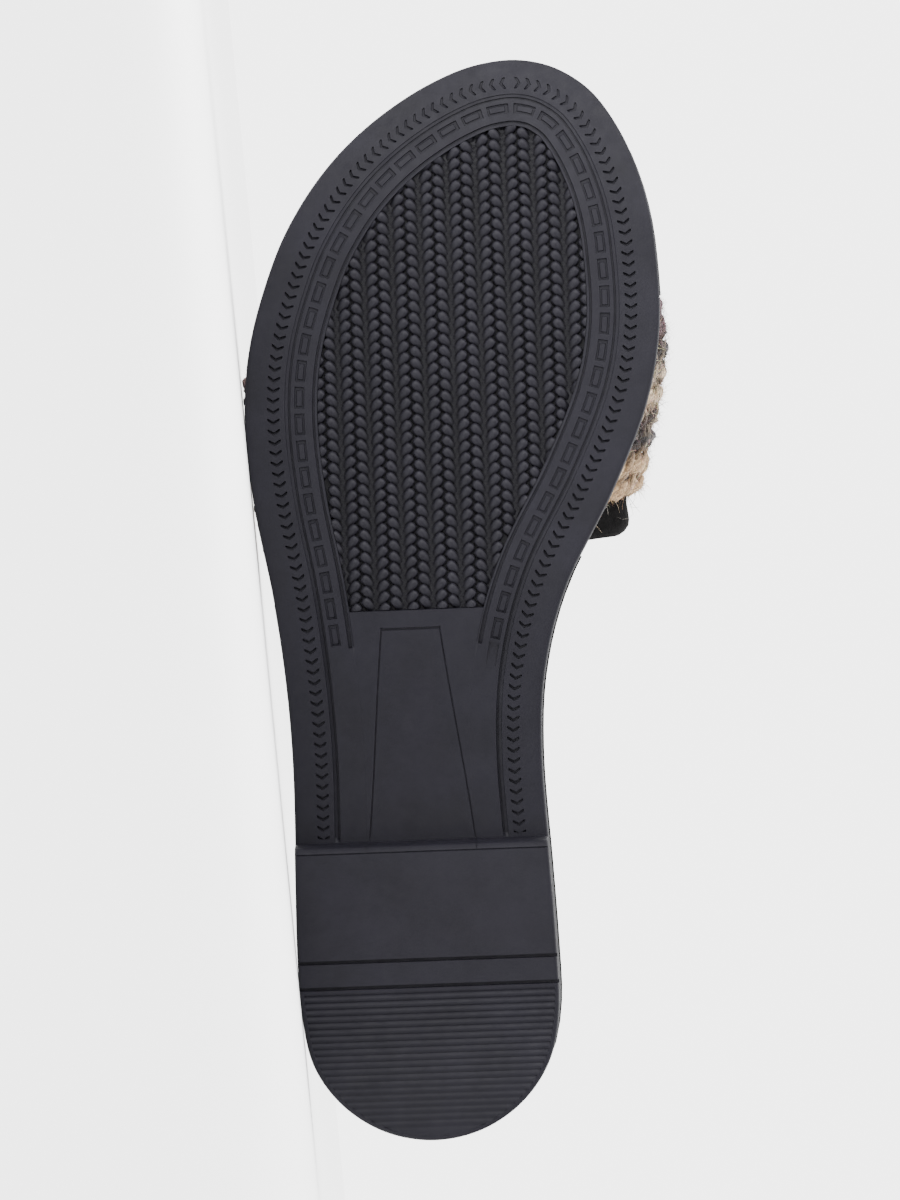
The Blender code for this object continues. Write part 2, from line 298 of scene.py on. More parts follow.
def moulded(*grids):
    """A mesh of pressed grids, with their faces turned outward."""
    bm = bmesh.new()
    for grid in grids:
        pressed_grid(bm, *grid)
    bmesh.ops.reverse_faces(bm, faces=bm.faces)
    return bm


def pull_out(bm):
    """Extrude a whole sheet; returns the corners of the new side."""
    grown = bmesh.ops.extrude_face_region(bm, geom=bm.faces[:])
    return [part for part in grown["geom"] if isinstance(part, bmesh.types.BMVert)]


def round_edges(bm, edges, width):
    bmesh.ops.bevel(bm, geom=edges, offset=width, segments=3, profile=0.5, affect="EDGES", material=-1)


def add_small(bm, small):
    """Add a small mesh to a large one."""
    mesh = bpy.data.meshes.new("small")
    small.to_mesh(mesh)
    small.free()
    bm.from_mesh(mesh)
    bpy.data.meshes.remove(mesh)


def link_object(name, data):
    made = bpy.data.objects.new(name, data)
    bpy.context.scene.collection.objects.link(made)
    return made


def finish_piece(name, bm, finishes, node=None, sharp=None):
    bmesh.ops.transform(bm, matrix=LYING, verts=bm.verts)
    mesh = bpy.data.meshes.new(name)
    bm.to_mesh(mesh)
    bm.free()
    mesh.shade_smooth()
    if sharp:
        mesh.set_sharp_from_angle(angle=math.radians(sharp))
    for each in finishes:
        mesh.materials.append(each.material)
    piece = link_object(name, mesh)
    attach(piece, "root")
    if node:
        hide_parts(node)
    print(name, "has", len(mesh.polygons), "faces")


# %% [markdown]
# ## Rubber
# Moulded black rubber is nearly black, with a soft dull shine.  A fine noise roughens the
# shine, and a second, larger one makes some areas a little greyer, as rubber is after it has
# been handled.  A small class keeps the nodes of a material together, so that each finish
# below is a few lines.  One function makes this rubber, the duller side wall rubber, whose
# lighter colour is painted light, and the braid rubber, with painted shade in its hollows.

# %% Rubber material
class Finish:
    """A material in the making; numbers that are the same all over go straight to its shader."""

    def __init__(self, name, numbers):
        self.material = bpy.data.materials.new(name)
        self.material.use_nodes = True
        self.nodes = self.material.node_tree.nodes
        self.links = self.material.node_tree.links
        self.shader = self.nodes["Principled BSDF"]
        for socket, value in numbers.items():
            self.shader.inputs[socket].default_value = value

    def pattern(self, kind, scale):
        """A texture that stays fixed to the object."""
        coords = self.nodes.new("ShaderNodeTexCoord")
        made = self.nodes.new(kind)
        made.inputs["Scale"].default_value = scale
        self.links.new(coords.outputs["Object"], made.inputs["Vector"])
        return made

    def grain(self, scale, detail=2.0):
        noise = self.pattern("ShaderNodeTexNoise", scale)
        noise.inputs["Detail"].default_value = detail
        return noise.outputs["Fac"]

    def stored(self, name, output):
        """A value that the mesh stores under a name."""
        made = self.nodes.new("ShaderNodeAttribute")
        made.attribute_name = name
        return made.outputs[output]

    def between(self, factor, low, high, tint=(1.0, 1.0, 1.0)):
        """A ramp from low to high; numbers become greys of the given tint."""
        ramp = self.nodes.new("ShaderNodeValToRGB")
        for stop, level, place in zip(ramp.color_ramp.elements, (low, high), (0.3, 0.7)):
            stop.position = place
            stop.color = tuple(level * part for part in tint) + (1.0,)
        self.links.new(factor, ramp.inputs["Fac"])
        return ramp.outputs["Color"]

    def multiply(self, first, second):
        mix = self.nodes.new("ShaderNodeMix")
        mix.data_type = "RGBA"
        mix.blend_type = "MULTIPLY"
        mix.inputs["Factor"].default_value = 1.0
        self.links.new(first, mix.inputs["A"])
        self.links.new(second, mix.inputs["B"])
        return mix.outputs["Result"]

    def feed(self, socket, output):
        self.links.new(output, self.shader.inputs[socket])

    def roughen(self, factor, strength, distance):
        bump = self.nodes.new("ShaderNodeBump")
        bump.inputs["Strength"].default_value = strength
        bump.inputs["Distance"].default_value = distance
        self.links.new(factor, bump.inputs["Height"])
        self.feed("Normal", bump.outputs["Normal"])


DULL_SPREAD = 0.12


def rubber_finish(name, low, high, tint, dull, painted_shade_share=None):
    made = Finish(name, {"Specular IOR Level": 0.13})
    colour = made.between(made.grain(90.0, 3.0), low, high, tint)
    # Painted shade: the colour darkens with the stored depth, down to the given share.
    if painted_shade_share:
        shade_from_depth = made.between(made.stored("depth", "Fac"), 1.0, painted_shade_share)
        colour = made.multiply(colour, shade_from_depth)
    made.feed("Base Color", colour)
    made.feed("Roughness", made.between(made.grain(400.0), dull, dull + DULL_SPREAD))
    made.roughen(made.grain(2600.0, 3.0), 0.12, 0.0002)
    return made


RUBBER = rubber_finish("black_rubber", 0.0047, 0.0063, (1.00, 0.92, 1.45), 0.50)
print("made", RUBBER.material.name)

# %% [markdown]
# ## The core of the sole
# Under the moulded skin is plain rubber.  The core is a grid pressed to the floor of the
# tread and pulled up to the top of the sole with an extrusion, which closes it.

# %% Core
CORE_INSET = 0.0011
CORE_DEPTH = 0.0018
CORE_UNDER_TOP = 0.00005
CORE_STEPS = [0.0016] + [0.004 * k for k in range(1, 60)] + [0.2400, 0.2435, 0.2462]
CORE_CLEAR = 0.0025
CORE_BREAST = [BREAST - 0.0022, BREAST + 0.0016]


def core_point(along, share):
    low, high = both_edges(along, CORE_INSET)
    level = tread_level(along) if along > BREAST else 0.0
    return Vector((along, low + (high - low) * share, CORE_DEPTH + level))


def sole_core():
    bm = bmesh.new()
    stations = [x for x in CORE_STEPS if abs(x - BREAST) > CORE_CLEAR] + CORE_BREAST
    pressed_grid(bm, sorted(stations), np.linspace(0.0, 1.0, 9), core_point)
    for vert in pull_out(bm):
        vert.co.z = sole_top(vert.co.x) - CORE_UNDER_TOP
    bmesh.ops.recalc_face_normals(bm, faces=bm.faces)
    return bm


finish_piece("outsole_core", sole_core(), [RUBBER], "outsole", sharp=40)

# %% [markdown]
# ## The border with the chevrons
# Round the forefoot and the waist runs a smooth border with a row of small chevrons, pressed
# into the rubber like thumbnail marks, all pointing back to the heel.  One grid makes the
# side wall, the rounded lower edge, the border and the chevrons.  Its columns bend with the
# chevrons, so that four columns are enough to give each of them a clean edge.  The wall is
# buffed after moulding, so its faces take a duller rubber that does not catch the light; that
# rubber is also made lighter, as painted light on the side wall.

# %% Columns of the border
CHEVRON_PITCH = 0.00242
CHEVRON_LINE = 0.0071
CHEVRON_HALF = 0.00145
CHEVRON_TIP = 0.00088
CHEVRON_WIDTH = 0.00031
CHEVRON_DEPTH = 0.00085
CHEVRON_FIRST = 0.0012
CHEVRON_LAST = BREAST + 0.0026
# Place of each column across the line of a chevron, and how deep it is cut there.
CHEVRON_COLUMNS = [(-1.15, 0.0), (-0.85, 0.95), (0.8, 0.8), (1.2, 0.0)]
CHEVRON_RUN = run_round(CHEVRON_LINE)
Column = namedtuple("Column", "run side edge depth along")


def breast_columns(runs):
    """Columns that fold exactly at the foot and the top of the heel breast."""
    made = []
    for along in BREAST_STATIONS:
        for side in SIDES:
            made.append(Column(run_at(side, along, runs), side, 0.0, 0.0, along))
    return made


def chevron_columns():
    columns = breast_columns(CHEVRON_RUN) + [Column(0.0, "inner", 0.0, 0.0, None)]
    for side, sign in SIDES.items():
        reach = abs(run_at(side, CHEVRON_LAST, CHEVRON_RUN)) - CHEVRON_FIRST
        count = round(reach / CHEVRON_PITCH)
        pitch = reach / count
        for k in range(count + 1):
            centre = sign * (CHEVRON_FIRST + pitch * k)
            for edge, depth in CHEVRON_COLUMNS:
                columns.append(Column(centre, side, sign * edge, depth, None))
            if k < count:
                columns.append(Column(centre + sign * pitch / 2, side, 0.0, 0.0, None))
    return sorted(columns, key=lambda column: column.run + column.edge * CHEVRON_WIDTH)


print(len(CHEVRON_COLUMNS), "columns to a chevron,", len(chevron_columns()), "in all")

# %% The side wall
RIM_INSET = 0.0003
WALL_DRAFT = 0.03
EDGE_ROUND = {"outer": 0.0009, "inner": 0.0008}
WALL_SHARES = (0.85, 0.5, 0.2)
EDGE_TURNS = (0.01, 12.0, 30.0, 48.0, 66.0, 90.0)
Row = namedtuple("Row", "inset lift wall")


def wall_rows():
    """From the top of the sole over its side wall and rounded edge to the flat border."""
    rows = [Row(0.0022, 0.0, 1.0), Row(0.0006, 0.0, 1.0), Row(0.0, -0.0002, 1.0)]
    rows += [Row(None, 0.0, share) for share in WALL_SHARES]
    return rows + [Row(-turn, 0.0, 0.0) for turn in EDGE_TURNS]


def on_wall(row):
    return row.inset is None or row.wall > 0.0 or row.inset < 0.0


def wall_point(place, row, along=None):
    """A point of the side wall; a row with a negative inset is a turn of the rounded edge."""
    x = edge_at(place, RIM_INSET)[0] if along is None else along
    top, low = sole_top(x), tread_level(x)
    turn = place % ROUND
    share = 1.0 if turn > TOE_PLACE else 1.0 - ease(min(turn, TOE_PLACE - turn) / (2 * STEPS))
    bend = EDGE_ROUND["outer"] + (EDGE_ROUND["inner"] - EDGE_ROUND["outer"]) * share
    if row.wall > 0.0 and row.inset is not None:
        inset, height = RIM_INSET + row.inset, top + row.lift
    elif row.wall > 0.0:
        height = low + bend + (top - low - bend) * row.wall
        inset = RIM_INSET + WALL_DRAFT * (top - height)
    else:
        angle = math.radians(-row.inset)
        height = low + bend * (1 - math.sin(angle))
        inset = RIM_INSET + WALL_DRAFT * (top - low - bend) + bend * (1 - math.cos(angle))
    x, y = edge_at(place, inset)
    return Vector((x if along is None else along, y, height))


# The side wall's rubber is rougher than the black rubber and about twice as light: the lighter colour is
# painted light on the wall.
WALL_RUBBER_PAINTED_LIGHT = rubber_finish("wall_rubber_painted_light", 0.0090, 0.0120, (1.00, 0.97, 1.12), 0.88)
WALL_FOOT = 0.0007
WALL_STEEP = 0.35


def give_wall_painted_light(bm):
    """The upright faces above the rounded edge take the second material, the rougher wall rubber with
    painted light.
    """
    bm.normal_update()
    for face in bm.faces:
        spot = face.calc_center_median()
        if abs(face.normal.z) < WALL_STEEP and spot.z - tread_level(spot.x) > WALL_FOOT:
            face.material_index = 1


print(len(wall_rows()), "rows make the wall and its rounded edge")

# %% Chevron border
BORDER_INSETS = [0.0022, 0.0036, 0.0050]
CHEVRON_SHARES = (-1.06, -1.0, -0.95, -0.85, -0.5, -0.15, 0.0, 0.15, 0.5, 0.85, 0.95, 1.0, 1.06)
# The groove inside the border, with a shelf on its way down: inset and lift.
BORDER_GROOVE = ((0.0092, 0.0), (0.00972, 0.0), (0.00982, 0.00024), (0.01048, 0.00028),
                 (0.01055, 0.00060), (0.01098, 0.00062))
SHELF_FROM, SHELF_TO = 0.0098, 0.0105
SHELF_DEEPER = 0.6
GROOVE_DEEPER = 0.8
WAIST_FADE_FROM, WAIST_FADE_OVER = 0.155, 0.038
TOE_FADE_FROM, TOE_FADE_OVER, TOE_FADE = 0.212, 0.028, 0.5
TAPER_LEAST, TAPER_OVER, SINK_OVER = 0.004, 0.16, 0.10
MERGE_WITHIN = 0.000001


def border_rows():
    insets = BORDER_INSETS + [CHEVRON_LINE + CHEVRON_HALF * share for share in CHEVRON_SHARES]
    rows = wall_rows() + [Row(inset, 0.0, 0.0) for inset in insets]
    return rows + [Row(inset, lift, 0.0) for inset, lift in BORDER_GROOVE]


def near_waist(along):
    """Nothing under the ball of the foot, growing to 1 towards the waist."""
    return ease((WAIST_FADE_FROM - along) / WAIST_FADE_OVER)


def groove_depth(along):
    """The groove inside the border is cut deeper along the waist."""
    return 1.0 + GROOVE_DEEPER * near_waist(along)


def chevron_point(column, row):
    if on_wall(row):
        place = place_at(column.run, CHEVRON_RUN)
        if column.along is not None:
            place = place_of(column.side, column.along)
        return wall_point(place, row, column.along)
    near = max(1.0 - abs((row.inset - CHEVRON_LINE) / CHEVRON_HALF), 0.0)
    if column.along is not None:
        x, y = column.along, across_at(column.side, column.along, row.inset)
    else:
        bend = SIDES[column.side] * CHEVRON_TIP * near if column.run else 0.0
        full = min(max(near, TAPER_LEAST) / TAPER_OVER, 1.0) ** 0.5
        run = column.run + bend + column.edge * CHEVRON_WIDTH * full
        x, y = edge_at(place_at(run, CHEVRON_RUN), row.inset)
    fade = 1.0 - TOE_FADE * ease((x - TOE_FADE_FROM) / TOE_FADE_OVER)
    sink = CHEVRON_DEPTH * fade * column.depth * min(near / SINK_OVER, 1.0)
    shelf = 1.0 + SHELF_DEEPER * near_waist(x) if SHELF_FROM < row.inset < SHELF_TO else 1.0
    lift = row.lift * shelf * groove_depth(x)
    return Vector((x, y, tread_level(x) + (sink + lift) * past_breast(x)))


bm = moulded((chevron_columns(), border_rows(), chevron_point))
# The columns of a chevron fall together on the wall, so they are merged there.
bmesh.ops.remove_doubles(bm, verts=bm.verts, dist=MERGE_WITHIN)
give_wall_painted_light(bm)
finish_piece("chevron_border", bm, [RUBBER, WALL_RUBBER_PAINTED_LIGHT], sharp=50)

# %% [markdown]
# ## The row of bricks
# Inside the border a narrow groove runs round, and then a row of small sunk bricks, each with
# a bar left standing in it.  A second groove closes the row.  The bricks stop where the waist
# begins.  The relief is a product of two short profiles, one along the row and one across it.

# %% Columns of the bricks
BRICK_PITCH = 0.00615
BRICK_LINE = 0.0131
BRICK_FROM = {"outer": 0.1132, "inner": 0.1118}
GROOVE_FROM = {"outer": 0.1130, "inner": 0.1111}
GROOVE_CUT = 0.0001
PLAIN_FROM, PLAIN_CLEAR, PLAIN_STEP = BREAST + 0.0032, 0.0026, 0.0011
BRICK_RUN = run_round(BRICK_LINE)
# Along the row, from the toe end: place in millimetres, sunk or not, bar or not.
BRICK_ALONG = [
    (-2.50, 0, 0), (-2.40, 1, 0), (-1.72, 1, 0), (-1.60, 1, 1), (-0.8, 1, 1), (0.0, 1, 1),
    (0.9, 1, 1), (1.85, 1, 1), (1.97, 1, 0), (2.32, 1, 0), (2.42, 0, 0), (3.0, 0, 0),
]
Brick = namedtuple("Brick", "run side sunk bar along")


def brick_columns():
    columns = [Brick(c.run, c.side, 0, 0, c.along) for c in breast_columns(BRICK_RUN)]
    for side, sign in SIDES.items():
        reach = abs(run_at(side, BRICK_FROM[side], BRICK_RUN))
        count = round(reach / BRICK_PITCH)
        pitch = reach / count
        for k in range(count):
            centre = sign * pitch * (k + 0.5)
            for along, sunk, bar in BRICK_ALONG:
                columns.append(Brick(centre + sign * along * MM, side, sunk, bar, None))
        end = abs(run_at(side, GROOVE_FROM[side], BRICK_RUN))
        for cut in (end - GROOVE_CUT, end + GROOVE_CUT):
            offset = (cut % pitch - 0.5 * pitch) / MM
            _, sunk, bar = min(BRICK_ALONG, key=lambda stop: abs(stop[0] - offset))
            columns.append(Brick(sign * cut, side, sunk, bar, None))
        for along in np.arange(PLAIN_FROM, BRICK_FROM[side] - PLAIN_CLEAR, PLAIN_STEP):
            columns.append(Brick(run_at(side, along, BRICK_RUN), side, 0, 0, float(along)))
    columns.append(Brick(0.0, "inner", 0, 0, None))
    return sorted(columns, key=lambda column: column.run)


print(len(brick_columns()), "columns for the bricks")

# %% Brick row
PANEL_INSET = 0.0172
WAIST_FRONT = 0.1228
BRICK_SINK, BRICK_DEEPER = 0.00045, 0.00018
BAR_SINK, BAR_DEEPER = 0.00016, 0.00028
# The second groove: its middle, the insets of its walls, and what it gains along the waist.
GROOVE_LINE = 0.01634
GROOVE_WALLS = (0.0160, 0.0167)
GROOVE_WIDER = 0.00018
SECOND_DEEPER = 0.5
# Insets that part the border's groove, the bricks, the second groove and the panel's edge.
FIRST_END, SECOND_START, PANEL_START = 0.0115, 0.0158, 0.01725
FRONT_SLACK = 0.0002
CLOSED_LIFT = 0.00004
# Across the row: inset in millimetres, sunk or not, bar or not, groove lift in millimetres.
BRICK_ACROSS = [
    (10.98, 0, 0, 0.62), (11.06, 0, 0, 0.0), (11.5, 0, 0, 0.0), (11.95, 0, 0, 0.0),
    (12.05, 1, 0, 0.0), (12.40, 1, 0, 0.0), (12.52, 1, 1, 0.0), (13.1, 1, 1, 0.0),
    (13.68, 1, 1, 0.0), (13.80, 1, 0, 0.0), (14.15, 1, 0, 0.0), (14.25, 0, 0, 0.0),
    (15.2, 0, 0, 0.0), (16.05, 0, 0, 0.0), (16.13, 0, 0, 0.55), (16.55, 0, 0, 0.55),
    (16.63, 0, 0, 0.06), (17.0, 0, 0, 0.10), (17.2, 0, 0, 0.12), (17.28, 0, 0, 1.75),
]


def brick_point(column, row):
    inset, sunk, bar, lift = row[0] * MM, row[1], row[2], row[3] * MM
    place = place_at(column.run, BRICK_RUN)
    deeper = near_waist(edge_at(place, inset)[0] if column.along is None else column.along)
    if GROOVE_WALLS[0] < inset < GROOVE_WALLS[1]:
        inset += deeper * math.copysign(GROOVE_WIDER, inset - GROOVE_LINE)
    if column.along is not None:
        x, y = column.along, across_at(column.side, column.along, inset)
    else:
        x, y = edge_at(place, inset)
    sink = 0.0
    if column.sunk and sunk:
        sink = BRICK_SINK + BRICK_DEEPER * deeper
        if column.bar and bar:
            sink = BAR_SINK + BAR_DEEPER * deeper
    if inset < FIRST_END:
        lift *= groove_depth(x)
    elif inset > PANEL_START:
        lift = lift if x > WAIST_FRONT - FRONT_SLACK else CLOSED_LIFT
    elif inset > SECOND_START:
        left = abs(run_at(column.side, GROOVE_FROM[column.side], BRICK_RUN)) - abs(column.run)
        lift = 0.0 if left < 0.0 else lift * (1.0 + SECOND_DEEPER * deeper)
    return Vector((x, y, tread_level(x) + (sink + lift) * past_breast(x)))


bm = moulded((brick_columns(), BRICK_ACROSS, brick_point))
finish_piece("brick_row", bm, [RUBBER], sharp=50)

# %% [markdown]
# ## The smooth waist
# The waist has no tread.  A fine line draws a long trapezoid on it, narrow at the front and
# wide at the heel, where the rubber turns down into the breast of the heel.  The columns of
# this grid follow the line, so that it stays crisp on a light mesh.

# %% Waist
TRAPEZOID_FRONT = 0.1184
TRAPEZOID_BACK = 0.0702
TRAPEZOID_LONG = TRAPEZOID_FRONT - TRAPEZOID_BACK
TRAPEZOID_HALF = (0.0067, 0.0122)
TRAPEZOID_PAST = 1.03
TRAPEZOID_MIDDLE, MIDDLE_DRIFT = 0.0003, 0.0008
LINE_SINK = 0.00032
LINE_HALF = 0.00011
FRONT_LINE = (-0.0004, -0.00028, -0.0002, 0.0002, 0.00028, 0.0004)
FRONT_LINE_HALF, FRONT_LINE_END, FRONT_LINE_DEEPER = 0.00025, 0.0003, 1.3
WAIST_PLAIN = [0.1200, 0.1215, 0.1226, WAIST_FRONT]
WAIST_STEPS = np.arange(BREAST + 0.0034, 0.1176, 0.0011)
WAIST_EDGE_SINK = 0.0014
LINE_PARTS = (-0.8, -0.35, 0.0, 0.35, 0.8)
WAIST_ZONES = {"outer": (0.0, 0.4, 0.75), "left": LINE_PARTS, "middle": (0.25, 0.5, 0.75),
               "right": LINE_PARTS, "inner": (0.75, 0.4, 0.0)}
WAIST_COLUMNS = [(zone, part) for zone, parts in WAIST_ZONES.items() for part in parts]


def waist_rows():
    front = [TRAPEZOID_FRONT + part for part in FRONT_LINE]
    return BREAST_STATIONS + list(WAIST_STEPS) + front + WAIST_PLAIN


def trapezoid_half(along):
    share = min(max((TRAPEZOID_FRONT - along) / TRAPEZOID_LONG, 0.0), TRAPEZOID_PAST)
    return TRAPEZOID_HALF[0] + (TRAPEZOID_HALF[1] - TRAPEZOID_HALF[0]) * share


def waist_point(along, column):
    zone, part = column
    low, high = both_edges(along, PANEL_INSET)
    half = trapezoid_half(along)
    middle = TRAPEZOID_MIDDLE - MIDDLE_DRIFT * ease((along - TRAPEZOID_BACK) / TRAPEZOID_LONG)
    left, right = middle - half, middle + half
    sink = 0.0
    if zone == "outer":
        y = low + (left - low) * part
    elif zone == "inner":
        y = high + (right - high) * part
    elif zone == "middle":
        y = left + (right - left) * part
    else:
        y = (left if zone == "left" else right) + part * 2 * LINE_HALF
        if abs(part) < 0.5 and along <= TRAPEZOID_FRONT + FRONT_LINE_END:
            sink = LINE_SINK
    closes = zone == "middle" or (zone == "left" and part > -0.5) or (zone == "right" and part < 0.5)
    if abs(along - TRAPEZOID_FRONT) < FRONT_LINE_HALF and closes:
        sink = LINE_SINK * FRONT_LINE_DEEPER
    if along >= WAIST_FRONT:
        sink = WAIST_EDGE_SINK
    return Vector((along, y, tread_level(along) + sink * past_breast(along)))


bm = moulded((waist_rows(), WAIST_COLUMNS, waist_point))
finish_piece("waist_panel", bm, [RUBBER], sharp=50)

# %% [markdown]
# ## The heel
# The heel block has a plain wall, two grooves right across and fine ribs behind them.  Its rim
# follows the edge like the border in front; inside the rim the rows run straight across.

# %% Rim of the heel
HEEL_GROOVES = (0.0364, 0.0424)
HEEL_GROOVE_HALF = 0.00034
HEEL_GROOVE_SINK = 0.0010
HEEL_STATIONS = [0.038, 0.039, 0.044, 0.048, 0.053, 0.058, 0.062, 0.0645, BREAST_STATIONS[0]]
HEEL_STATIONS += [groove + part * HEEL_GROOVE_HALF
                  for groove in HEEL_GROOVES for part in (-1.25, -0.98, 0.98, 1.25)]
RIM_WIDTH = 0.0018
RIM_STATIONS = [0.031, 0.0335]
BACK_FROM, BACK_COLUMNS = 0.0295, 72


def heel_groove(along):
    for groove in HEEL_GROOVES:
        if abs(along - groove) < HEEL_GROOVE_HALF:
            return HEEL_GROOVE_SINK
    return 0.0


def heel_columns():
    sides = sorted(RIM_STATIONS + HEEL_STATIONS)
    ends = place_of("inner", BACK_FROM), ROUND + place_of("outer", BACK_FROM)
    inner = [("inner", along) for along in sides[::-1]]
    back = [("back", place) for place in np.linspace(*ends, BACK_COLUMNS)]
    return inner + back + [("outer", along) for along in sides]


def heel_rim_point(column, row):
    side, value = column
    along = value if side != "back" else None
    place = place_of(side, value) if side != "back" else value
    if on_wall(row):
        spot = wall_point(place, row, along)
    else:
        x, y = edge_at(place, row.inset)
        spot = Vector((x if along is None else along, y, 0.0))
    if along is not None and row.wall == 0.0:
        spot.z = max(spot.z, heel_groove(along))
    return spot


print(len(heel_columns()), "columns round the heel")

# %% Heel block
RIB_PITCH = 0.00153
RIB_FROM, RIB_TO = 0.0034, 0.0354
RIB_HEIGHT = 0.00046
RIB_STEPS = 6
HEEL_END = [RIM_WIDTH + 0.00002, 0.0021, 0.0025, 0.0030]
RIM_STEPS = (0.0, 0.00015, 0.0005)
RIM_STEP_MOST = 0.3
HEEL_ACROSS_COLUMNS = (
    [("outer", step) for step in RIM_STEPS]
    + [("middle", share) for share in (0.1, 0.3, 0.5, 0.7, 0.9)]
    + [("inner", step) for step in RIM_STEPS[::-1]]
)


def rib_height(along):
    if not RIB_FROM < along < RIB_TO:
        return 0.0
    fade = 0.5 + 0.5 * (along - RIB_FROM) / (RIB_TO - RIB_FROM)
    turn = 2 * math.pi * (RIB_TO - along) / RIB_PITCH
    return RIB_HEIGHT * fade * (0.5 - 0.5 * math.cos(turn)) ** 1.5


def heel_rows():
    count = int((RIB_TO - RIB_FROM) / RIB_PITCH * RIB_STEPS)
    ribs = [RIB_TO - RIB_PITCH * k / RIB_STEPS for k in range(count)]
    return sorted(HEEL_END + ribs + HEEL_STATIONS)


def heel_point(along, column):
    side, value = column
    low, high = both_edges(along, RIM_WIDTH)
    wide = high - low
    step = min(value, RIM_STEP_MOST * wide)
    y = {"outer": low + step, "inner": high - step, "middle": low + wide * value}[side]
    ribbed = side == "middle" or value > 0.0
    sink = max(rib_height(along) if ribbed else 0.0, heel_groove(along))
    return Vector((along, y, sink))


rim = (heel_columns(), wall_rows() + [Row(RIM_WIDTH, 0.0, 0.0)], heel_rim_point)
bm = moulded(rim, (heel_rows(), HEEL_ACROSS_COLUMNS, heel_point))
give_wall_painted_light(bm)
finish_piece("heel_block", bm, [RUBBER, WALL_RUBBER_PAINTED_LIGHT], sharp=45)

# %% [markdown]
# ## The braid under the ball of the foot
# The tread under the ball looks like rows of braided cord: short rounded lobes that lean
# towards each other and meet along zig-zag lines, with valleys between the rows.  One lobe is
# a stretched sphere of a few faces with blunt ends.  It is copied along the rows, tipped so
# that its front end stands out and its back end runs into the valley, and cut off where the
# groove round the panel passes.  High spots are a little greyer than the valley floor, which is
# painted shade: every corner stores how deep it lies, and the material darkens with that.

# %% One lobe
LOBE_SIZE = (0.00224, 0.00122, 0.00100)
LOBE_TURN = math.radians(43.0)
LOBE_TIP = math.radians(27.0)
LOBE_SINK = 0.00140
LOBE_OUTSIDE = 0.0010
LOBE_REACH = 0.0025
BLUNT_POWER, BLUNT_ROOT, FRONT_FULLER = 4.6, 0.45, 0.04
PANEL_LINE = inner_line(PANEL_INSET + 0.0001)


def inside_panel(x, y):
    """Distance inside the panel's outline, the way out, and the nearest point of the outline."""
    gap = np.hypot(PANEL_LINE[:, 0] - x, PANEL_LINE[:, 1] - y)
    near = int(np.argmin(gap))
    inward = EDGE[near, 2:]
    reach = (x - PANEL_LINE[near, 0]) * inward[0] + (y - PANEL_LINE[near, 1]) * inward[1]
    return float(reach), Vector((-inward[0], -inward[1], 0.0)), Vector((*PANEL_LINE[near], 0.0))


def blunt_sphere(bm):
    bmesh.ops.create_uvsphere(bm, u_segments=8, v_segments=6, radius=1.0)
    for vert in bm.verts:
        z = vert.co.z
        blunt = 1.0
        if 0.01 < abs(z) < 0.99:
            blunt = (1 - abs(z) ** BLUNT_POWER) ** BLUNT_ROOT / math.sqrt(1 - z * z)
        vert.co.xy *= blunt * (1.0 + FRONT_FULLER * z)


def add_lobe(bm, x, y, sign):
    """One lobe; sign -1 leans to the outer side of its zig-zag line, +1 to the inner side."""
    reach, out, spot = inside_panel(x, y)
    if reach < -LOBE_OUTSIDE or x < WAIST_FRONT - LOBE_OUTSIDE:
        return 0
    lobe = bmesh.new()
    blunt_sphere(lobe)
    turn = Matrix.Rotation(-sign * LOBE_TURN, 4, "Z") @ Matrix.Rotation(LOBE_TIP, 4, "Y")
    grow = Matrix.Diagonal((*LOBE_SIZE, 1.0)) @ Matrix.Rotation(math.pi / 2, 4, "Y")
    bmesh.ops.transform(lobe, matrix=turn @ grow, verts=lobe.verts)
    bmesh.ops.translate(lobe, verts=lobe.verts, vec=(x, y, tread_level(x) + LOBE_SINK))
    planes = []
    if reach < LOBE_REACH:
        planes.append((spot, out))
    if x < WAIST_FRONT + LOBE_REACH:
        planes.append((Vector((WAIST_FRONT, 0.0, 0.0)), Vector((-1.0, 0.0, 0.0))))
    for place, way in planes:
        parts = lobe.verts[:] + lobe.edges[:] + lobe.faces[:]
        bmesh.ops.bisect_plane(lobe, geom=parts, plane_co=place, plane_no=way, clear_outer=True)
    add_small(bm, lobe)
    return 1


print("a lobe is", round(2 * LOBE_SIZE[0] / MM, 1), "mm long")

# %% Braid lobes
BRAID_FIRST, BRAID_STEP = 0.0017, 0.0066
BRAID_LINES = range(-6, 9)
LOBE_PITCH = 0.0026
LOBE_PLACES = range(-2, 48)
LOBE_SIDE = 0.00174
VALLEY_DEPTH = 0.00134
# Lighter than the black rubber on the high spots and darker in the hollows: painted light and painted shade.
BRAID_PAINTED_SHADE_RUBBER = rubber_finish("braid_painted_shade_rubber", 0.0074, 0.0092, (1.00, 0.93, 1.32), 0.46, painted_shade_share=0.50)


def braid(bm):
    count = 0
    for line in BRAID_LINES:
        y = BRAID_FIRST + BRAID_STEP * line
        for k in LOBE_PLACES:
            x = WAIST_FRONT + LOBE_PITCH * k
            count += add_lobe(bm, x, y - LOBE_SIDE, -1.0)
            count += add_lobe(bm, x + LOBE_PITCH / 2, y + LOBE_SIDE, 1.0)
    return count


def mark_depth(bm):
    """Stores how deep each corner lies in the panel: 0 at the tread, 1 on the valley floor; the braid rubber
    paints shade from it.
    """
    depth = bm.verts.layers.float.new("depth")
    for vert in bm.verts:
        vert[depth] = (vert.co.z - tread_level(vert.co.x)) / VALLEY_DEPTH


bm = bmesh.new()
print(braid(bm), "lobes")
mark_depth(bm)
finish_piece("braid_lobes", bm, [BRAID_PAINTED_SHADE_RUBBER])

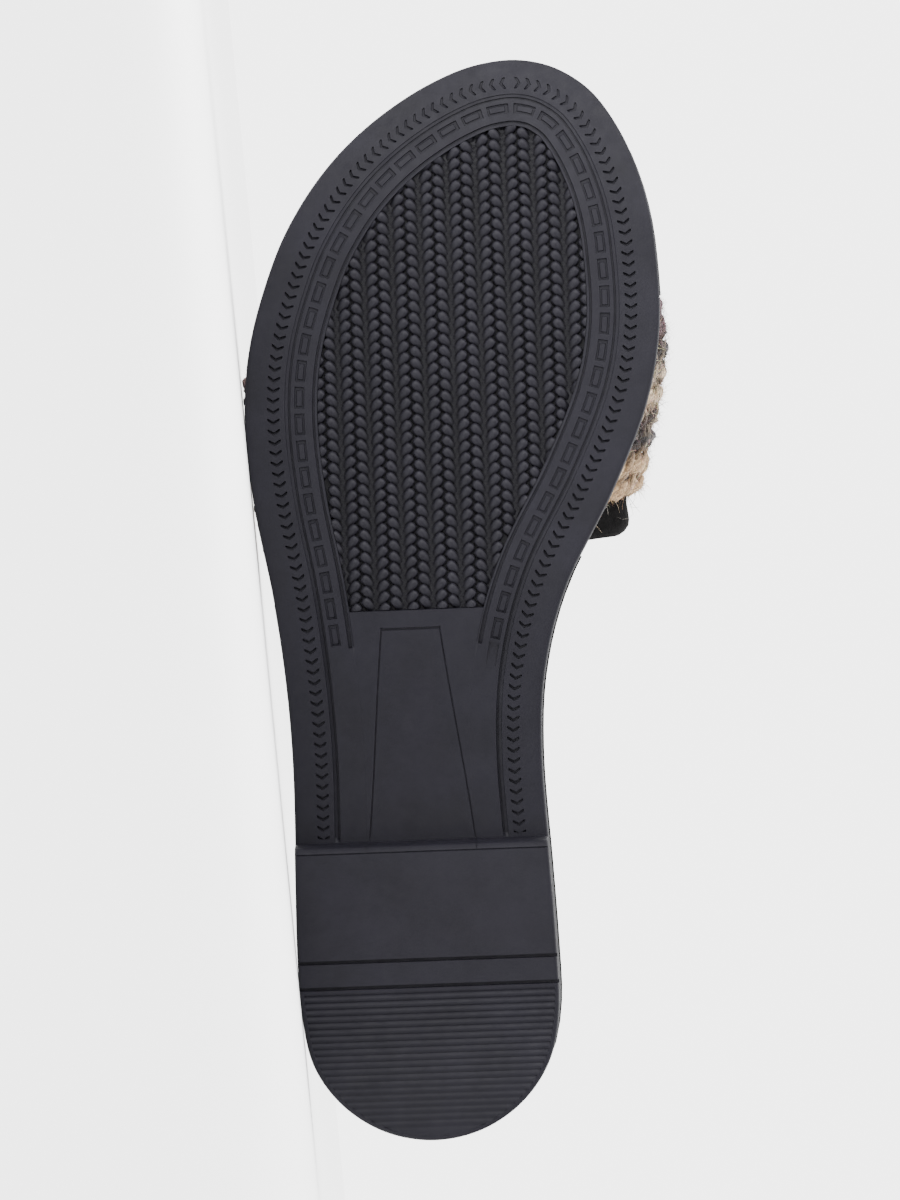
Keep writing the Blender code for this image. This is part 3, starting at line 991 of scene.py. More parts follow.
# %% [markdown]
# The lobes dip into a waved floor, deep under the zig-zag lines and shallow in the valleys
# between the rows.  The valleys carry fine crossed ridges, as if the plait went on there in
# thin cord.  A ridge is a stretched cube.

# %% Valley floor and its ridges
ZIGZAG_DEPTH = 0.00176
VALLEY_INSET = PANEL_INSET - 0.0001
VALLEY_END = 0.2322
RIDGE_PITCH = 0.0013
RIDGE_SIZE = (0.0021, 0.00024, 0.00046)
RIDGE_PLACES = 90
RIDGE_INSIDE = 0.0010
RIDGE_LEANS = (math.radians(-43.0), math.radians(43.0))


def valley_point(along, share):
    low, high = both_edges(along, VALLEY_INSET)
    y = low + (high - low) * share
    wave = 0.5 + 0.5 * math.cos(2 * math.pi * (y - BRAID_FIRST) / BRAID_STEP)
    return Vector((along, y, tread_level(along) + VALLEY_DEPTH + (ZIGZAG_DEPTH - VALLEY_DEPTH) * wave))


def add_ridges(bm, line):
    y = BRAID_FIRST + BRAID_STEP * (line + 0.5)
    grow = Matrix.Diagonal((*RIDGE_SIZE, 1.0))
    ridges = bmesh.new()
    for k in range(RIDGE_PLACES):
        x = WAIST_FRONT + RIDGE_PITCH * (k + 0.5)
        if inside_panel(x, y)[0] > RIDGE_INSIDE:
            spot = Matrix.Translation((x, y, tread_level(x) + VALLEY_DEPTH))
            for lean in RIDGE_LEANS:
                turn = Matrix.Rotation(lean, 4, "Z")
                bmesh.ops.create_cube(ridges, size=1.0, matrix=spot @ turn @ grow)
    add_small(bm, ridges)


bm = moulded((np.linspace(WAIST_FRONT, VALLEY_END, 40), np.linspace(0.0, 1.0, 91), valley_point))
for line in BRAID_LINES:
    add_ridges(bm, line)
mark_depth(bm)
finish_piece("valley_floor", bm, [BRAID_PAINTED_SHADE_RUBBER], sharp=50)

# %% [markdown]
# ## The footbed
# The footbed is a thin padded board covered in black leather, cut back on both sides where the
# band comes down.  A grid gives its underside, an extrusion its thickness and a bevel the
# rounded edge; the top dips a little under the heel, as a worn one does.

# %% Footbed cover
FOOTBED_THICKNESS = 0.0032
FOOTBED_ROUND = 0.0008
FOOTBED_NOTCH = 0.0060
JOIN_GAP = 0.0003
FOOTBED_SPANS = {"outer": (0.12505, 0.17907), "inner": (0.13365, 0.19307)}
FOOTBED_STEPS = (
    [0.0002, 0.0008, 0.0018, 0.0034, 0.0055, 0.0085, 0.0120, 0.0160, 0.0205, 0.0255]
    + list(np.arange(0.030, 0.230, 0.004))
    + [0.2330, 0.2375, 0.2410, 0.2440, 0.2462, 0.2476, 0.2486]
)
CUT_CLEAR, CUT_HALF = 0.0012, 0.00006
RIM_ANGLE = 0.9
TOP_SHARE = 0.9


def leather_finish():
    made = Finish("black_cover", {"Specular IOR Level": 0.16})
    made.feed("Base Color", made.between(made.grain(140.0, 4.0), 0.0035, 0.0065, (1.0, 0.96, 1.0)))
    made.feed("Roughness", made.between(made.grain(900.0), 0.42, 0.60))
    made.roughen(made.pattern("ShaderNodeTexVoronoi", 1500.0).outputs["Distance"], 0.25, 0.0003)
    return made


def footbed_point(along, share):
    edges = []
    for side, (start, end) in FOOTBED_SPANS.items():
        inset = FOOTBED_NOTCH if start < along < end else 0.0
        edges.append(across_at(side, along, inset))
    y = edges[0] + (edges[1] - edges[0]) * share
    return Vector((along, y, sole_top(along) + JOIN_GAP))


def footbed_stations():
    cuts = [place for span in FOOTBED_SPANS.values() for place in span]
    rows = [x for x in FOOTBED_STEPS if all(abs(x - cut) > CUT_CLEAR for cut in cuts)]
    return sorted(rows + [cut + part for cut in cuts for part in (-CUT_HALF, CUT_HALF)])


def worn_dip(x, y):
    """How far the top is pressed in: a cup under the heel and a flat dip under the ball."""
    low, high = both_edges(x, 0.0)
    share = (y - low) / max(high - low, 0.001)
    inside = ease(min(share, 1 - share) / 0.3)
    cup = ease((0.075 - x) / 0.04) * ease((x - 0.004) / 0.012)
    ball = ease(1 - abs(x - 0.172) / 0.04)
    return inside * (0.0007 * cup + 0.0004 * ball)


def make_footbed():
    bm = bmesh.new()
    pressed_grid(bm, footbed_stations(), np.linspace(0.0, 1.0, 13), footbed_point)
    tops = pull_out(bm)
    bmesh.ops.translate(bm, verts=tops, vec=(0.0, 0.0, FOOTBED_THICKNESS))
    bmesh.ops.recalc_face_normals(bm, faces=bm.faces)
    on_top = set(tops)
    sharp = [edge for edge in bm.edges if edge.calc_face_angle(0.0) > RIM_ANGLE]
    round_edges(bm, [edge for edge in sharp if on_top.issuperset(edge.verts)], FOOTBED_ROUND)
    for vert in bm.verts:
        if vert.co.z > sole_top(vert.co.x) + JOIN_GAP + TOP_SHARE * FOOTBED_THICKNESS:
            vert.co.z -= worn_dip(vert.co.x, vert.co.y)
    return bm


finish_piece("footbed_cover", make_footbed(), [leather_finish()], "footbed", sharp=45)

# %% [markdown]
# ## The shape of the band
# The band springs from both sides of the sole and arches over the instep, higher at the back
# than at the front.  Its shape is again a short table: where it leaves the sole, how wide and
# how high it is.  The functions below read a place on it from two shares, one from the back
# edge to the front and one from the outer end over the foot to the inner end.

# %% Band surface
# Share from back to front, where both ends leave the sole, how far out both sides reach, height.
BAND = np.array([
    (0.0000, 0.1257, 0.1343, -0.0288, 0.0478, 0.0540),
    (0.0125, 0.1264, 0.1352, -0.0289, 0.0492, 0.0539),
    (0.04, 0.1280, 0.1370, -0.0291, 0.0500, 0.0536),
    (0.15, 0.1345, 0.1446, -0.0300, 0.0497, 0.0525),
    (0.50, 0.1530, 0.1650, -0.0323, 0.0545, 0.0480),
    (0.80, 0.1680, 0.1812, -0.0327, 0.0566, 0.0432),
    (1.00, 0.1780, 0.1920, -0.0328, 0.0550, 0.0400),
])
# Share across, share of the height, and how much of the outer and the inner reach is used.
ARCH = np.array([
    (0.00, 0.00, 0.0, 0.0), (0.00, 0.05, 0.0, 0.0), (0.00, 0.20, 0.5, 0.0), (0.00, 0.42, 1.0, 0.0),
    (0.05, 0.70, 0.3, 0.0), (0.22, 0.92, 0.0, 0.0), (0.52, 1.00, 0.0, 0.0), (0.80, 0.91, 0.0, 0.0),
    (0.97, 0.64, 0.0, 0.6), (1.00, 0.36, 0.0, 1.0), (1.00, 0.18, 0.0, 0.5), (1.00, 0.05, 0.0, 0.0),
    (1.00, 0.00, 0.0, 0.0),
])
BAND_INSET = 0.0054
BAND_SEAT = 0.0008
BAND_LEAN = 0.13


def table_curve(rows):
    """A table of rows as a smooth curve, guided straight out at both ends."""
    return curve_through([2 * rows[0] - rows[1], *rows, 2 * rows[-1] - rows[-2]], 10)


BAND_CURVE = table_curve(BAND)
ARCH_CURVE = table_curve(np.column_stack([np.linspace(0.0, 1.0, len(ARCH)), ARCH]))


def read_curve(curve, key):
    return [np.interp(key, curve[:, 0], column) for column in curve.T[1:]]


def rim_places(side, along, inset):
    half = edge_half(side)
    x, y, nx, ny = (np.interp(along, half[:, 0], column) for column in half.T)
    size = np.hypot(nx, ny)
    return along + inset * nx / size, y + inset * ny / size


def arch_over(feet, reaches, height, lean, across):
    """Points of an arch between two feet, each a row of points."""
    starts, ends = feet
    share, up, outer, inner = read_curve(ARCH_CURVE, across)
    place = starts + (ends - starts) * share[:, None]
    place[:, 1] += outer * (reaches[0] - starts[:, 1]) + inner * (reaches[1] - ends[:, 1])
    place[:, 2] += up * height
    place[:, 0] += lean * up * height
    return place


def foot_points(x, y, gap):
    return np.column_stack([x, y, [sole_top(v) + gap for v in x]])


def band_surface(back, across):
    """Points of the inner face of the lining for arrays of both shares."""
    back, across = np.asarray(back, float), np.asarray(across, float)
    outer_along, inner_along, outer_reach, inner_reach, height = read_curve(BAND_CURVE, back)
    feet = []
    for side, along in zip(SIDES, (outer_along, inner_along)):
        feet.append(foot_points(*rim_places(side, along, BAND_INSET), BAND_SEAT))
    return arch_over(feet, (outer_reach, inner_reach), height, BAND_LEAN, across)


print("band is", round(float(band_surface([0.5], [0.5])[0][2] / MM), 1), "mm high over the instep")

# %% A strap over a surface
SURFACE_STEP = 0.004
FINE_STEPS = 400
STRAP_ANGLE = 1.0


def unit(way):
    return way / np.linalg.norm(way, axis=1)[:, None]


def surface_frame(surface, back, across):
    """Points, and the unit directions forward, over the foot and outward."""
    back, across = np.asarray(back, float), np.asarray(across, float)
    before, behind = np.minimum(back + SURFACE_STEP, 1.0), np.maximum(back - SURFACE_STEP, 0.0)
    further, nearer = np.minimum(across + SURFACE_STEP, 1.0), np.maximum(across - SURFACE_STEP, 0.0)
    ahead = surface(before, across) - surface(behind, across)
    over = surface(back, further) - surface(back, nearer)
    return surface(back, across), unit(ahead), unit(over), unit(np.cross(ahead, over))


def even_over(surface, count):
    """Shares that divide the way over the foot evenly, in the middle of a strap."""
    fine = np.linspace(0.0, 1.0, FINE_STEPS)
    run = lengths_along(surface(np.full(FINE_STEPS, 0.5), fine))
    return np.interp(np.linspace(0.0, run[-1], count), run, fine)


def strap(surface, backs, count, lift, thickness, rounding):
    """A strap of even thickness over a surface, with rounded edges."""
    bm = bmesh.new()
    across = even_over(surface, count)
    us, vs = np.meshgrid(backs, across, indexing="ij")
    places, _, _, out = surface_frame(surface, us.ravel(), vs.ravel())
    inner, outer = (places + out * level for level in (lift, lift + thickness))
    number = bm.verts.layers.int.new("number")
    flat = pressed_grid(bm, range(len(backs)), range(count), lambda i, j: Vector((i, j, 0.0)))
    for vert in flat:
        vert[number] = round(vert.co.x) * count + round(vert.co.y)
    shell = set(pull_out(bm))
    for vert in bm.verts:
        vert.co = Vector((outer if vert in shell else inner)[vert[number]])
    bmesh.ops.recalc_face_normals(bm, faces=bm.faces)
    round_edges(bm, [edge for edge in bm.edges if edge.calc_face_angle(0.0) > STRAP_ANGLE], rounding)
    return bm


middle_line = band_surface(np.full(FINE_STEPS, 0.5), even_over(band_surface, FINE_STEPS))
print("band is", round(float(lengths_along(middle_line)[-1] / MM)), "mm long over the foot")

# %% [markdown]
# ## Velvet lining and its lip
# The band is lined with black velvet, which shows behind the tweed as a soft lip.  Velvet is
# darkest where one looks straight into the pile and greyer at its edges: that is what sheen is for.

# %% Lining
LINING_THICKNESS = 0.0014
LINING_ROUND = 0.00055
LIP_STEPS = [0.0, 0.0125, 0.025, 0.04, 0.06, 0.09, 0.13]
BAND_COLUMNS = 91
VELVET_NUMBERS = {"Roughness": 0.95, "Specular IOR Level": 0.03, "Sheen Weight": 0.02,
                  "Sheen Roughness": 0.35}


def velvet_finish(name, level):
    made = Finish(name, VELVET_NUMBERS)
    pile = made.grain(700.0, 3.0)
    made.feed("Base Color", made.between(pile, 0.5 * level, 1.4 * level, (1.0, 0.93, 0.96)))
    made.roughen(made.grain(3800.0), 0.6, 0.0004)
    return made


backs = LIP_STEPS + list(np.linspace(0.2, 1.0, 13))
bm = strap(band_surface, backs, BAND_COLUMNS, 0.0, LINING_THICKNESS, LINING_ROUND)
VELVET = velvet_finish("black_velvet", 0.0030)
finish_piece("velvet_lining", bm, [VELVET], "band_lining", sharp=60)

# %% [markdown]
# ## Tweed
# The tweed of the band is a coarse plain weave of thick soft yarns in beige, cream, brown,
# grey, mauve and black.  Each yarn is two or three plies twisted round each other, and it
# dives under every second crossing.  A ply is a tube: a grid rolled up along a path, with a
# small random unevenness, because spun wool is never round.  The colour changes along the
# yarn and is stored on the mesh, so one material serves every yarn.  Wool is soft, so the
# yarns are pressed flat where the sandal lies on them.

# %% Colours of the yarns
WARPS = 9
BEIGE, CREAM, TAN = (0.57, 0.405, 0.25), (0.58, 0.46, 0.33), (0.47, 0.31, 0.17)
BROWN, GREY, MAUVE = (0.055, 0.034, 0.027), (0.085, 0.080, 0.085), (0.19, 0.11, 0.125)
BLACK, WHITE = (0.010, 0.008, 0.009), (0.47, 0.43, 0.38)
WARP_PLIES = [
    (TAN, BEIGE, TAN), (BEIGE, TAN, BEIGE), (BLACK, GREY, BROWN),
    (BROWN, CREAM, BLACK), (CREAM, BEIGE, CREAM), (CREAM, GREY, BEIGE),
    (BLACK, BROWN, GREY), (BLACK, MAUVE, BROWN), (MAUVE, GREY, MAUVE),
]
WEFT_PLIES = [
    (CREAM, BEIGE), (CREAM, BLACK), (WHITE, GREY), (BROWN, TAN),
    (GREY, BROWN), (CREAM, MAUVE), (BEIGE, GREY), (BLACK, CREAM),
]
COLOUR_MOST = 0.9
rng = np.random.default_rng(7)


def slub_colours(run, colour, other, share):
    """A colour that drifts along the yarn towards another one and back."""
    phase = rng.uniform(0.0, 6.3, 2)
    drift = share + (1.0 - share) * np.sin(run * 420 + phase[0]) * np.sin(run * 170 + phase[1])
    mixed = np.outer(1 - drift, colour) + drift[:, None] * np.asarray(other)
    return np.minimum(mixed * (1.0 + 0.07 * rng.normal(size=(len(run), 1))), COLOUR_MOST)


def warp_shades(count, ply):
    """The colours of one ply of all the warps, from the back of the band to the front."""
    shades = np.array([plies[ply % 3] for plies in WARP_PLIES])
    places = np.linspace(-0.5, WARPS - 0.5, count)
    return np.column_stack([np.interp(places, range(WARPS), shades[:, k]) for k in range(3)])


def tweed_finish():
    made = Finish("tweed", {"Roughness": 0.95, "Specular IOR Level": 0.15, "Sheen Weight": 0.10,
                            "Sheen Roughness": 0.5})
    mottle = made.between(made.grain(1900.0, 5.0), 0.55, 1.25)
    made.feed("Base Color", made.multiply(made.stored("yarn", "Color"), mottle))
    made.roughen(made.grain(3600.0, 4.0), 1.0, 0.0008)
    return made


TWEED = tweed_finish()
print(len(WARP_PLIES), "warp yarns and", len(WEFT_PLIES), "kinds of weft")

# %% Twist a yarn
PLY_TWIST = 0.0150
PLY_SIDES = 7
PLY_UNEVEN = 0.16
PLY_LEAST = 0.0000005
SEAM_WITHIN = 0.000002
END_TAPER = 0.0012


def roll_tube(bm, path, side, out, radius, colours):
    """Roll a grid into an uneven tube along a path; radius and colour change from point to point."""
    uneven = 1.0 + rng.normal(0.0, PLY_UNEVEN, (len(path), PLY_SIDES))
    rows = []

    def place(turn, i):
        angle = 2 * math.pi * turn / PLY_SIDES
        reach = radius[i] * uneven[i, turn % PLY_SIDES]
        rows.append(i)
        return Vector(path[i] + reach * (math.cos(angle) * side[i] + math.sin(angle) * out[i]))

    tube = bmesh.new()
    layer = tube.verts.layers.float_color.new("yarn")
    verts = pressed_grid(tube, range(PLY_SIDES + 1), range(len(path)), place)
    for vert, i in zip(verts, rows):
        vert[layer] = (*colours[i], 1.0)
    bmesh.ops.remove_doubles(tube, verts=tube.verts, dist=SEAM_WITHIN)
    bmesh.ops.recalc_face_normals(tube, faces=tube.faces)
    add_small(bm, tube)


def twisted_yarn(bm, places, side, out, plies, wide, thick, start, ply):
    """Plies twisted round a middle line, lumpy as hand-spun yarn."""
    run = lengths_along(places)
    ends = np.minimum(np.minimum(run, run[-1] - run) / END_TAPER, 1.0) ** 0.5
    for k, colour in enumerate(plies):
        turn = 2 * math.pi * (run / PLY_TWIST + k / len(plies)) + start
        wave = rng.normal(0.0, 0.5, 3)
        lumps = 1.0 + 0.18 * np.sin(run * 900 + wave[0] * 6) + 0.13 * np.sin(run * 2300 + wave[1] * 6)
        shift = wide * np.cos(turn) + 0.00038 * np.sin(run * 560 + wave[2] * 6)
        rise = thick * np.sin(turn) + 0.00020 * np.sin(run * 330 + wave[1] * 9)
        path = places + side * shift[:, None] + out * rise[:, None]
        radius = np.maximum(ply * lumps * ends, PLY_LEAST)
        other, share = (plies[k - 1], 0.6) if len(plies) == 3 else (warp_shades(len(run), k), 0.82)
        # The tube's unevenness is drawn after the yarn's colours.
        roll_tube(bm, path, side, out, radius, slub_colours(run, colour, other, share))


print("plies turn once in", round(PLY_TWIST / MM), "mm")

# %% Weave
WEAVE_FROM = 0.125
WEFTS = 30
WEAVE_MIDDLE = 0.00345
WEAVE_SWING = 0.00050
WEFT_SWING = 1.3
WARP_POINTS, WEFT_POINTS = 220, 64
OVER = even_over(band_surface, 241)
OVER_STEPS = np.linspace(0.0, 1.0, 241)
FLOOR_CLEAR = 0.0002


def yarn_line(back, steps, swing, side):
    """A yarn's middle line, the way to its side and the way out of the cloth."""
    ways = surface_frame(band_surface, back, np.interp(steps, OVER_STEPS, OVER))
    places, out = ways[0], ways[3]
    return places + out * (WEAVE_MIDDLE + swing)[:, None], ways[side], out


def warp_line(k):
    """A warp runs over the foot, so its side is the way forward."""
    back = np.full(WARP_POINTS, WEAVE_FROM + (1.0 - WEAVE_FROM) * (k + 0.5) / WARPS)
    steps = np.linspace(0.0, 1.0, WARP_POINTS)
    back = back + 0.006 * np.sin(steps * 17 + k * 2.1)
    swing = WEAVE_SWING * np.cos(math.pi * (steps * WEFTS - 0.5 + k))
    return yarn_line(back, steps, swing, side=1)


def weft_line(j):
    """A weft runs forward, so its side is the way over the foot."""
    back = np.linspace(WEAVE_FROM + 0.004, 0.998, WEFT_POINTS)
    crossing = (back - WEAVE_FROM) / (1.0 - WEAVE_FROM) * WARPS - 0.5
    swing = -WEAVE_SWING * WEFT_SWING * np.cos(math.pi * (crossing + j))
    steps = np.full(WEFT_POINTS, (j + 0.5) / WEFTS) + 0.0015 * np.sin(crossing * 1.7 + j)
    return yarn_line(back, steps, swing, side=2)


def press_on_floor(bm):
    """Lift what would dip into the floor up to it."""
    up = LYING.to_3x3().transposed() @ Vector((0.0, 0.0, 1.0))
    for vert in bm.verts:
        vert.co += up * max(FLOOR_CLEAR - (LYING @ vert.co).z, 0.0)
    return bm


def weave_piece(name, lines, node=None):
    bm = bmesh.new()
    bm.verts.layers.float_color.new("yarn")
    for line in lines:
        twisted_yarn(bm, *line)
    finish_piece(name, press_on_floor(bm), [TWEED], node)


# Each yarn: its line, its plies, the width and height of its twist, where that starts, a ply's radius.
warps = [(*warp_line(k), WARP_PLIES[k], 0.00115, 0.00055, k * 1.3, 0.00082) for k in range(WARPS)]
wefts = []
for j in range(WEFTS):
    plies = WEFT_PLIES[(j * 3) % len(WEFT_PLIES)]
    wefts.append((*weft_line(j), plies, 0.00085, 0.00045, j * 0.9, 0.00068))
weave_piece("tweed_warp", warps, "woven_band")
weave_piece("tweed_weft", wefts)

# %% [markdown]
# Behind the yarns lies a plain backing cloth, so that no light shows between them.

# %% Backing cloth
BACKING_LIFT, BACKING_THICKNESS, BACKING_ROUND = 0.0018, 0.0009, 0.0003


def backing_finish():
    made = Finish("tweed_backing", {"Roughness": 0.95})
    made.feed("Base Color", made.between(made.grain(900.0, 3.0), 0.05, 0.12, (1.0, 0.85, 0.75)))
    made.roughen(made.grain(3000.0), 0.5, 0.0004)
    return made


backs = np.linspace(WEAVE_FROM + 0.006, 0.992, 13)
bm = strap(band_surface, backs, BAND_COLUMNS, BACKING_LIFT, BACKING_THICKNESS, BACKING_ROUND)
finish_piece("tweed_backing", bm, [backing_finish()])

# %% [markdown]
# ## Loose fibres
# Wool is never smooth.  Thousands of short bent fibres stand off the yarns; each is a narrow
# ribbon of three faces, bent by given rules and a fixed random seed.  A few longer threads
# have come loose at the back and lie over the velvet lip.

# %% Fibres
TUFTS, TUFT_FIBRES = 240, 100
FIBRE_BEND = 0.55
WARP_SHARE = 0.55
YARN_WIDE, YARN_HIGH = 0.0018, 0.0011
FIBRE_TURN = 0.4 * math.pi
# How far a fibre leans, and bends, off the yarn, along it and to its side.
FIBRE_WAYS = ((0.05, 0.7), (-1, 1), (-0.7, 0.7))
FIBRE_BENDS = ((-0.9, 0.4), (-1, 1), (-1, 1))
FIBRE_LENGTH, FIBRE_WIDTH = (0.0010, 0.0028), (0.00005, 0.00010)
LONG_SHARE, LONG_TIMES = 0.06, 1.7
FIBRE_FLOOR, FIBRE_UP = 0.0025, 0.2


def add_fibre(bm, layer, start, way, bend, length, width, colour):
    side = way.cross(bend).normalized() * width
    made = bmesh.ops.create_grid(bm, x_segments=1, y_segments=3, size=0.5)
    for vert in made["verts"]:
        share = vert.co.y + 0.5
        spot = start + way * (length * share) + bend * (length * FIBRE_BEND * share * share)
        vert.co = spot + side * (vert.co.x * (1.25 - share))
        vert[layer] = (*colour, 1.0)


def mixed_way(dice, ways, spans):
    first, second, third = (way * dice.uniform(*span) for way, span in zip(ways, spans))
    return (first + second + third).normalized()


def make_fibre(tuft, layer, dice, lines):
    reach = len(warps) if dice.random() < WARP_SHARE else len(lines)
    places, side, out, plies = lines[dice.randrange(reach)][:4]
    i = dice.randrange(2, len(places) - 2)
    along = Vector(places[i + 1] - places[i - 1]).normalized()
    aside, away = Vector(side[i]), Vector(out[i])
    turn = dice.uniform(-FIBRE_TURN, FIBRE_TURN)
    rim = away * math.cos(turn) + aside * math.sin(turn)
    start = Vector(places[i]) + aside * (math.sin(turn) * YARN_WIDE) + away * (math.cos(turn) * YARN_HIGH)
    way = mixed_way(dice, (rim, along, aside), FIBRE_WAYS)
    bend = mixed_way(dice, (rim, along, aside), FIBRE_BENDS)
    length = dice.uniform(*FIBRE_LENGTH) * (LONG_TIMES if dice.random() < LONG_SHARE else 1.0)
    colour = [c * dice.uniform(0.75, 1.25) for c in dice.choice(plies)]
    if (LYING @ start).z > FIBRE_FLOOR + length or away.z > FIBRE_UP:
        add_fibre(tuft, layer, start, way, bend, length, dice.uniform(*FIBRE_WIDTH), colour)


def add_tufts(bm):
    dice = random.Random(11)
    for _ in range(TUFTS):
        tuft = bmesh.new()
        layer = tuft.verts.layers.float_color.new("yarn")
        for _ in range(TUFT_FIBRES):
            make_fibre(tuft, layer, dice, warps + wefts)
        add_small(bm, tuft)


print("up to", TUFTS * TUFT_FIBRES, "fibres")

# %% Loose threads
LOOSE_THREADS = 120
THREAD_BACK, THREAD_LENGTH, THREAD_WIDTH = (0.05, 0.15), (0.0030, 0.0075), 0.00017
THREAD_LIFT = LINING_THICKNESS + 0.00025
THREAD_FLOOR = 0.006


def add_loose_threads(bm):
    dice = random.Random(5)
    threads = bmesh.new()
    layer = threads.verts.layers.float_color.new("yarn")
    for k in range(LOOSE_THREADS):
        over = OVER[int(240 * (k + dice.random()) / LOOSE_THREADS)]
        ways = surface_frame(band_surface, [dice.uniform(*THREAD_BACK)], [over])
        spot, ahead, across, out = (Vector(part[0]) for part in ways)
        way = (across * dice.choice((-1, 1)) - ahead * dice.uniform(0.1, 0.8)).normalized()
        bend = (ahead * dice.uniform(-0.6, 0.6) + out * 0.05).normalized()
        colour = dice.choice((CREAM, WHITE, WHITE))
        start = spot + out * THREAD_LIFT
        if (LYING @ start).z > THREAD_FLOOR:
            add_fibre(threads, layer, start, way, bend, dice.uniform(*THREAD_LENGTH), THREAD_WIDTH, colour)
    add_small(bm, threads)


bm = bmesh.new()
bm.verts.layers.float_color.new("yarn")
add_tufts(bm)
add_loose_threads(bm)
finish_piece("tweed_fibres", press_on_floor(bm), [TWEED])

# %% [markdown]
# ## Toe loop
# A narrow velvet strap makes a ring for the big toe.  Its two legs go down through the footbed.

# %% Toe loop
LOOP_WEB = (0.2150, 0.0215)
LOOP_SIDE = (0.2100, 0.0475)
LOOP_HEIGHT = 0.0270
LOOP_BULGE = 0.0012
LOOP_WIDTH = 0.0130
LOOP_THICKNESS = 0.0018
LOOP_ROUND = 0.0006
LOOP_COLUMNS = 61


def loop_surface(back, across):
    shift = (np.asarray(back, float) - 0.5) * LOOP_WIDTH
    feet = []
    for along, side in (LOOP_WEB, LOOP_SIDE):
        feet.append(foot_points(along + shift, np.full(len(shift), side), JOIN_GAP))
    reaches = (LOOP_WEB[1] - LOOP_BULGE, LOOP_SIDE[1] + LOOP_BULGE)
    return arch_over(feet, reaches, LOOP_HEIGHT, 0.0, np.asarray(across, float))


bm = strap(loop_surface, np.linspace(0.0, 1.0, 9), LOOP_COLUMNS, 0.0, LOOP_THICKNESS, LOOP_ROUND)
STRAP_VELVET = velvet_finish("black_strap", 0.0045)
finish_piece("toe_loop_strap", bm, [STRAP_VELVET], "toe_loop", sharp=60)

# %% [markdown]
# ## Floor, light and camera
# The sandal lies on a pale floor in a white room.  The room is brighter towards the backdrop
# and the ceiling, and one soft lamp stands on the side of the toe.  The camera looks almost
# square at the tread, rolled so that the toe points up in the picture, and stays just above
# the floor.

# %% Floor and light
FLOOR_SIZE = 30.0
ROOM_LEAST = 0.8
BACKDROP = ("Y", -0.2, 0.9, 3.7)
CEILING = ("Z", 0.4, 0.95, 4.6)


def pale_floor():
    made = Finish("pale_floor", {"Roughness": 0.9, "Specular IOR Level": 0.0})
    made.feed("Base Color", made.between(made.grain(3.0), 0.93, 0.95))
    bm = bmesh.new()
    bmesh.ops.create_grid(bm, x_segments=1, y_segments=1, size=FLOOR_SIZE)
    mesh = bpy.data.meshes.new("floor")
    bm.to_mesh(mesh)
    bm.free()
    mesh.materials.append(made.material)
    return link_object("floor", mesh)


def from_side(nodes, links, parts, axis, start, end, strength):
    """Light that grows towards one side of the room."""
    rise = nodes.new("ShaderNodeMapRange")
    rise.interpolation_type = "SMOOTHSTEP"
    for socket, value in (("From Min", start), ("From Max", end), ("To Min", 0.0), ("To Max", strength)):
        rise.inputs[socket].default_value = value
    links.new(parts.outputs[axis], rise.inputs["Value"])
    return rise.outputs["Result"]


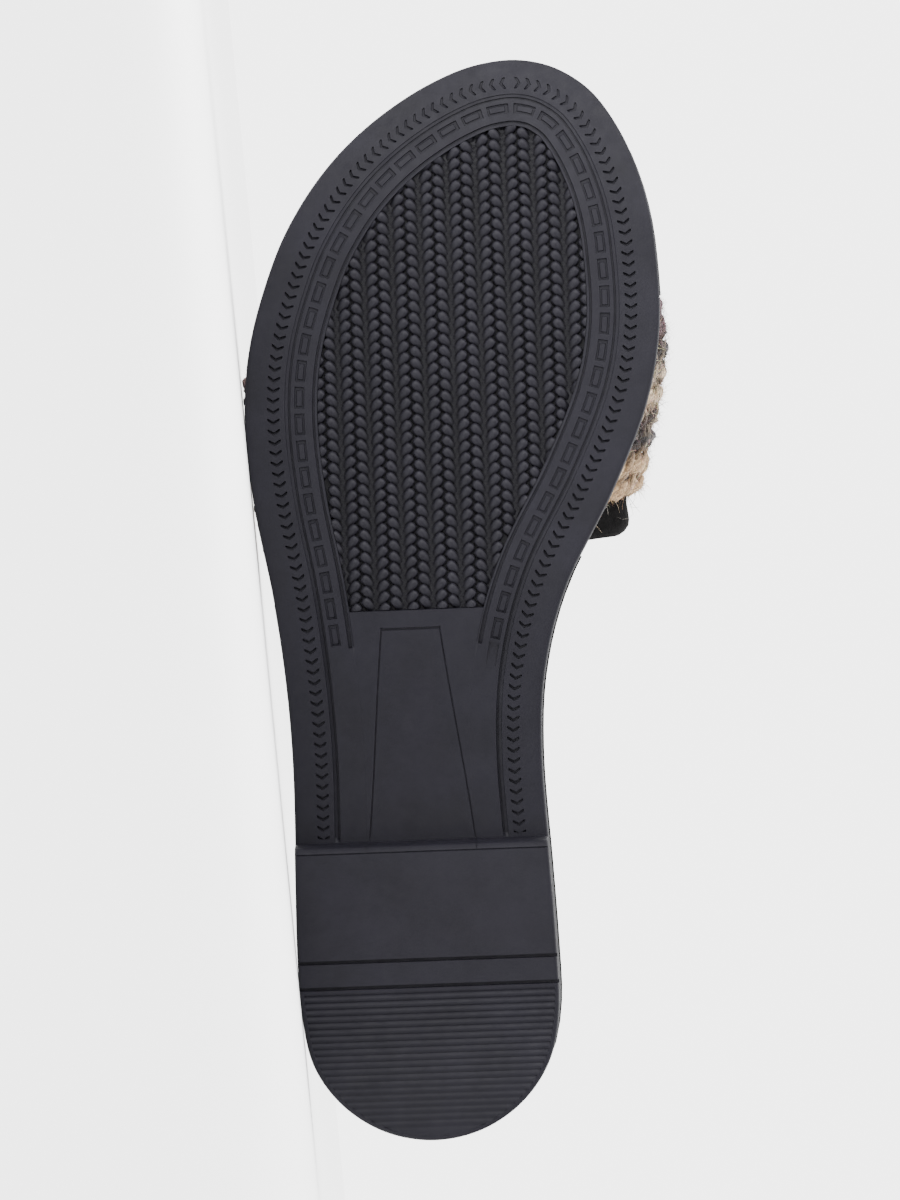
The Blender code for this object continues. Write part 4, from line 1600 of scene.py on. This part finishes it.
def white_room():
    """Soft white light all round, brighter from the backdrop and from the ceiling."""
    world = bpy.data.worlds.new("white_room")
    world.use_nodes = True
    bpy.context.scene.world = world
    nodes, links = world.node_tree.nodes, world.node_tree.links
    coords = nodes.new("ShaderNodeTexCoord")
    parts = nodes.new("ShaderNodeSeparateXYZ")
    links.new(coords.outputs["Generated"], parts.inputs["Vector"])
    both = nodes.new("ShaderNodeMath")
    for socket, side in zip(both.inputs, (BACKDROP, CEILING)):
        links.new(from_side(nodes, links, parts, *side), socket)
    total = nodes.new("ShaderNodeMath")
    links.new(both.outputs[0], total.inputs[0])
    total.inputs[1].default_value = ROOM_LEAST
    links.new(total.outputs[0], nodes["Background"].inputs["Strength"])
    nodes["Background"].inputs["Color"].default_value = (1.0, 1.0, 1.0, 1.0)


def soft_light(name, shoe_spot, aim, size, power):
    data = bpy.data.lights.new(name, "AREA")
    data.shape = "DISK"
    data.size = size
    data.energy = power
    lamp = link_object(name, data)
    lamp.location = LYING @ Vector(shoe_spot)
    way = (LYING @ Vector(aim)) - lamp.location
    lamp.rotation_euler = way.to_track_quat("-Z", "Y").to_euler()


pale_floor()
white_room()
soft_light("toe_light", (0.50, 0.14, -0.38), (0.17, 0.01, 0.0), 0.5, 5.6)
print("floor, room and", len(bpy.data.lights), "lamp")

# %% Camera
VIEW_SPOT = Vector((0.1246, 0.00885, 0.0))
VIEW_DISTANCE = 0.90
VIEW_TALL = 0.2751
VIEW_ROLL = math.radians(2.15)
VIEW_FLOOR = 0.006
SENSOR_TALL = 36.0


def place_camera():
    data = bpy.data.cameras.new("camera")
    data.sensor_fit = "VERTICAL"
    data.sensor_height = SENSOR_TALL
    data.lens = SENSOR_TALL * VIEW_DISTANCE / VIEW_TALL
    data.clip_start = 0.01
    camera = link_object("camera", data)
    turn = LYING.to_3x3()
    spot = LYING @ VIEW_SPOT
    away = turn @ Vector((0.0, 0.0, -1.0))
    drop = (VIEW_FLOOR - spot.z) / VIEW_DISTANCE
    flat = Vector((away.x, away.y, 0.0)).normalized() * math.sqrt(1 - drop * drop)
    away = Vector((flat.x, flat.y, max(away.z, drop)))
    up = turn @ Vector((math.cos(VIEW_ROLL), math.sin(VIEW_ROLL), 0.0))
    up = (up - away * up.dot(away)).normalized()
    axes = Matrix((up.cross(away), up, away)).transposed().to_4x4()
    camera.matrix_world = Matrix.Translation(spot + away * VIEW_DISTANCE) @ axes
    bpy.context.scene.camera = camera
    return camera


CAMERA = place_camera()
print("camera at", [round(v, 3) for v in CAMERA.matrix_world.translation])
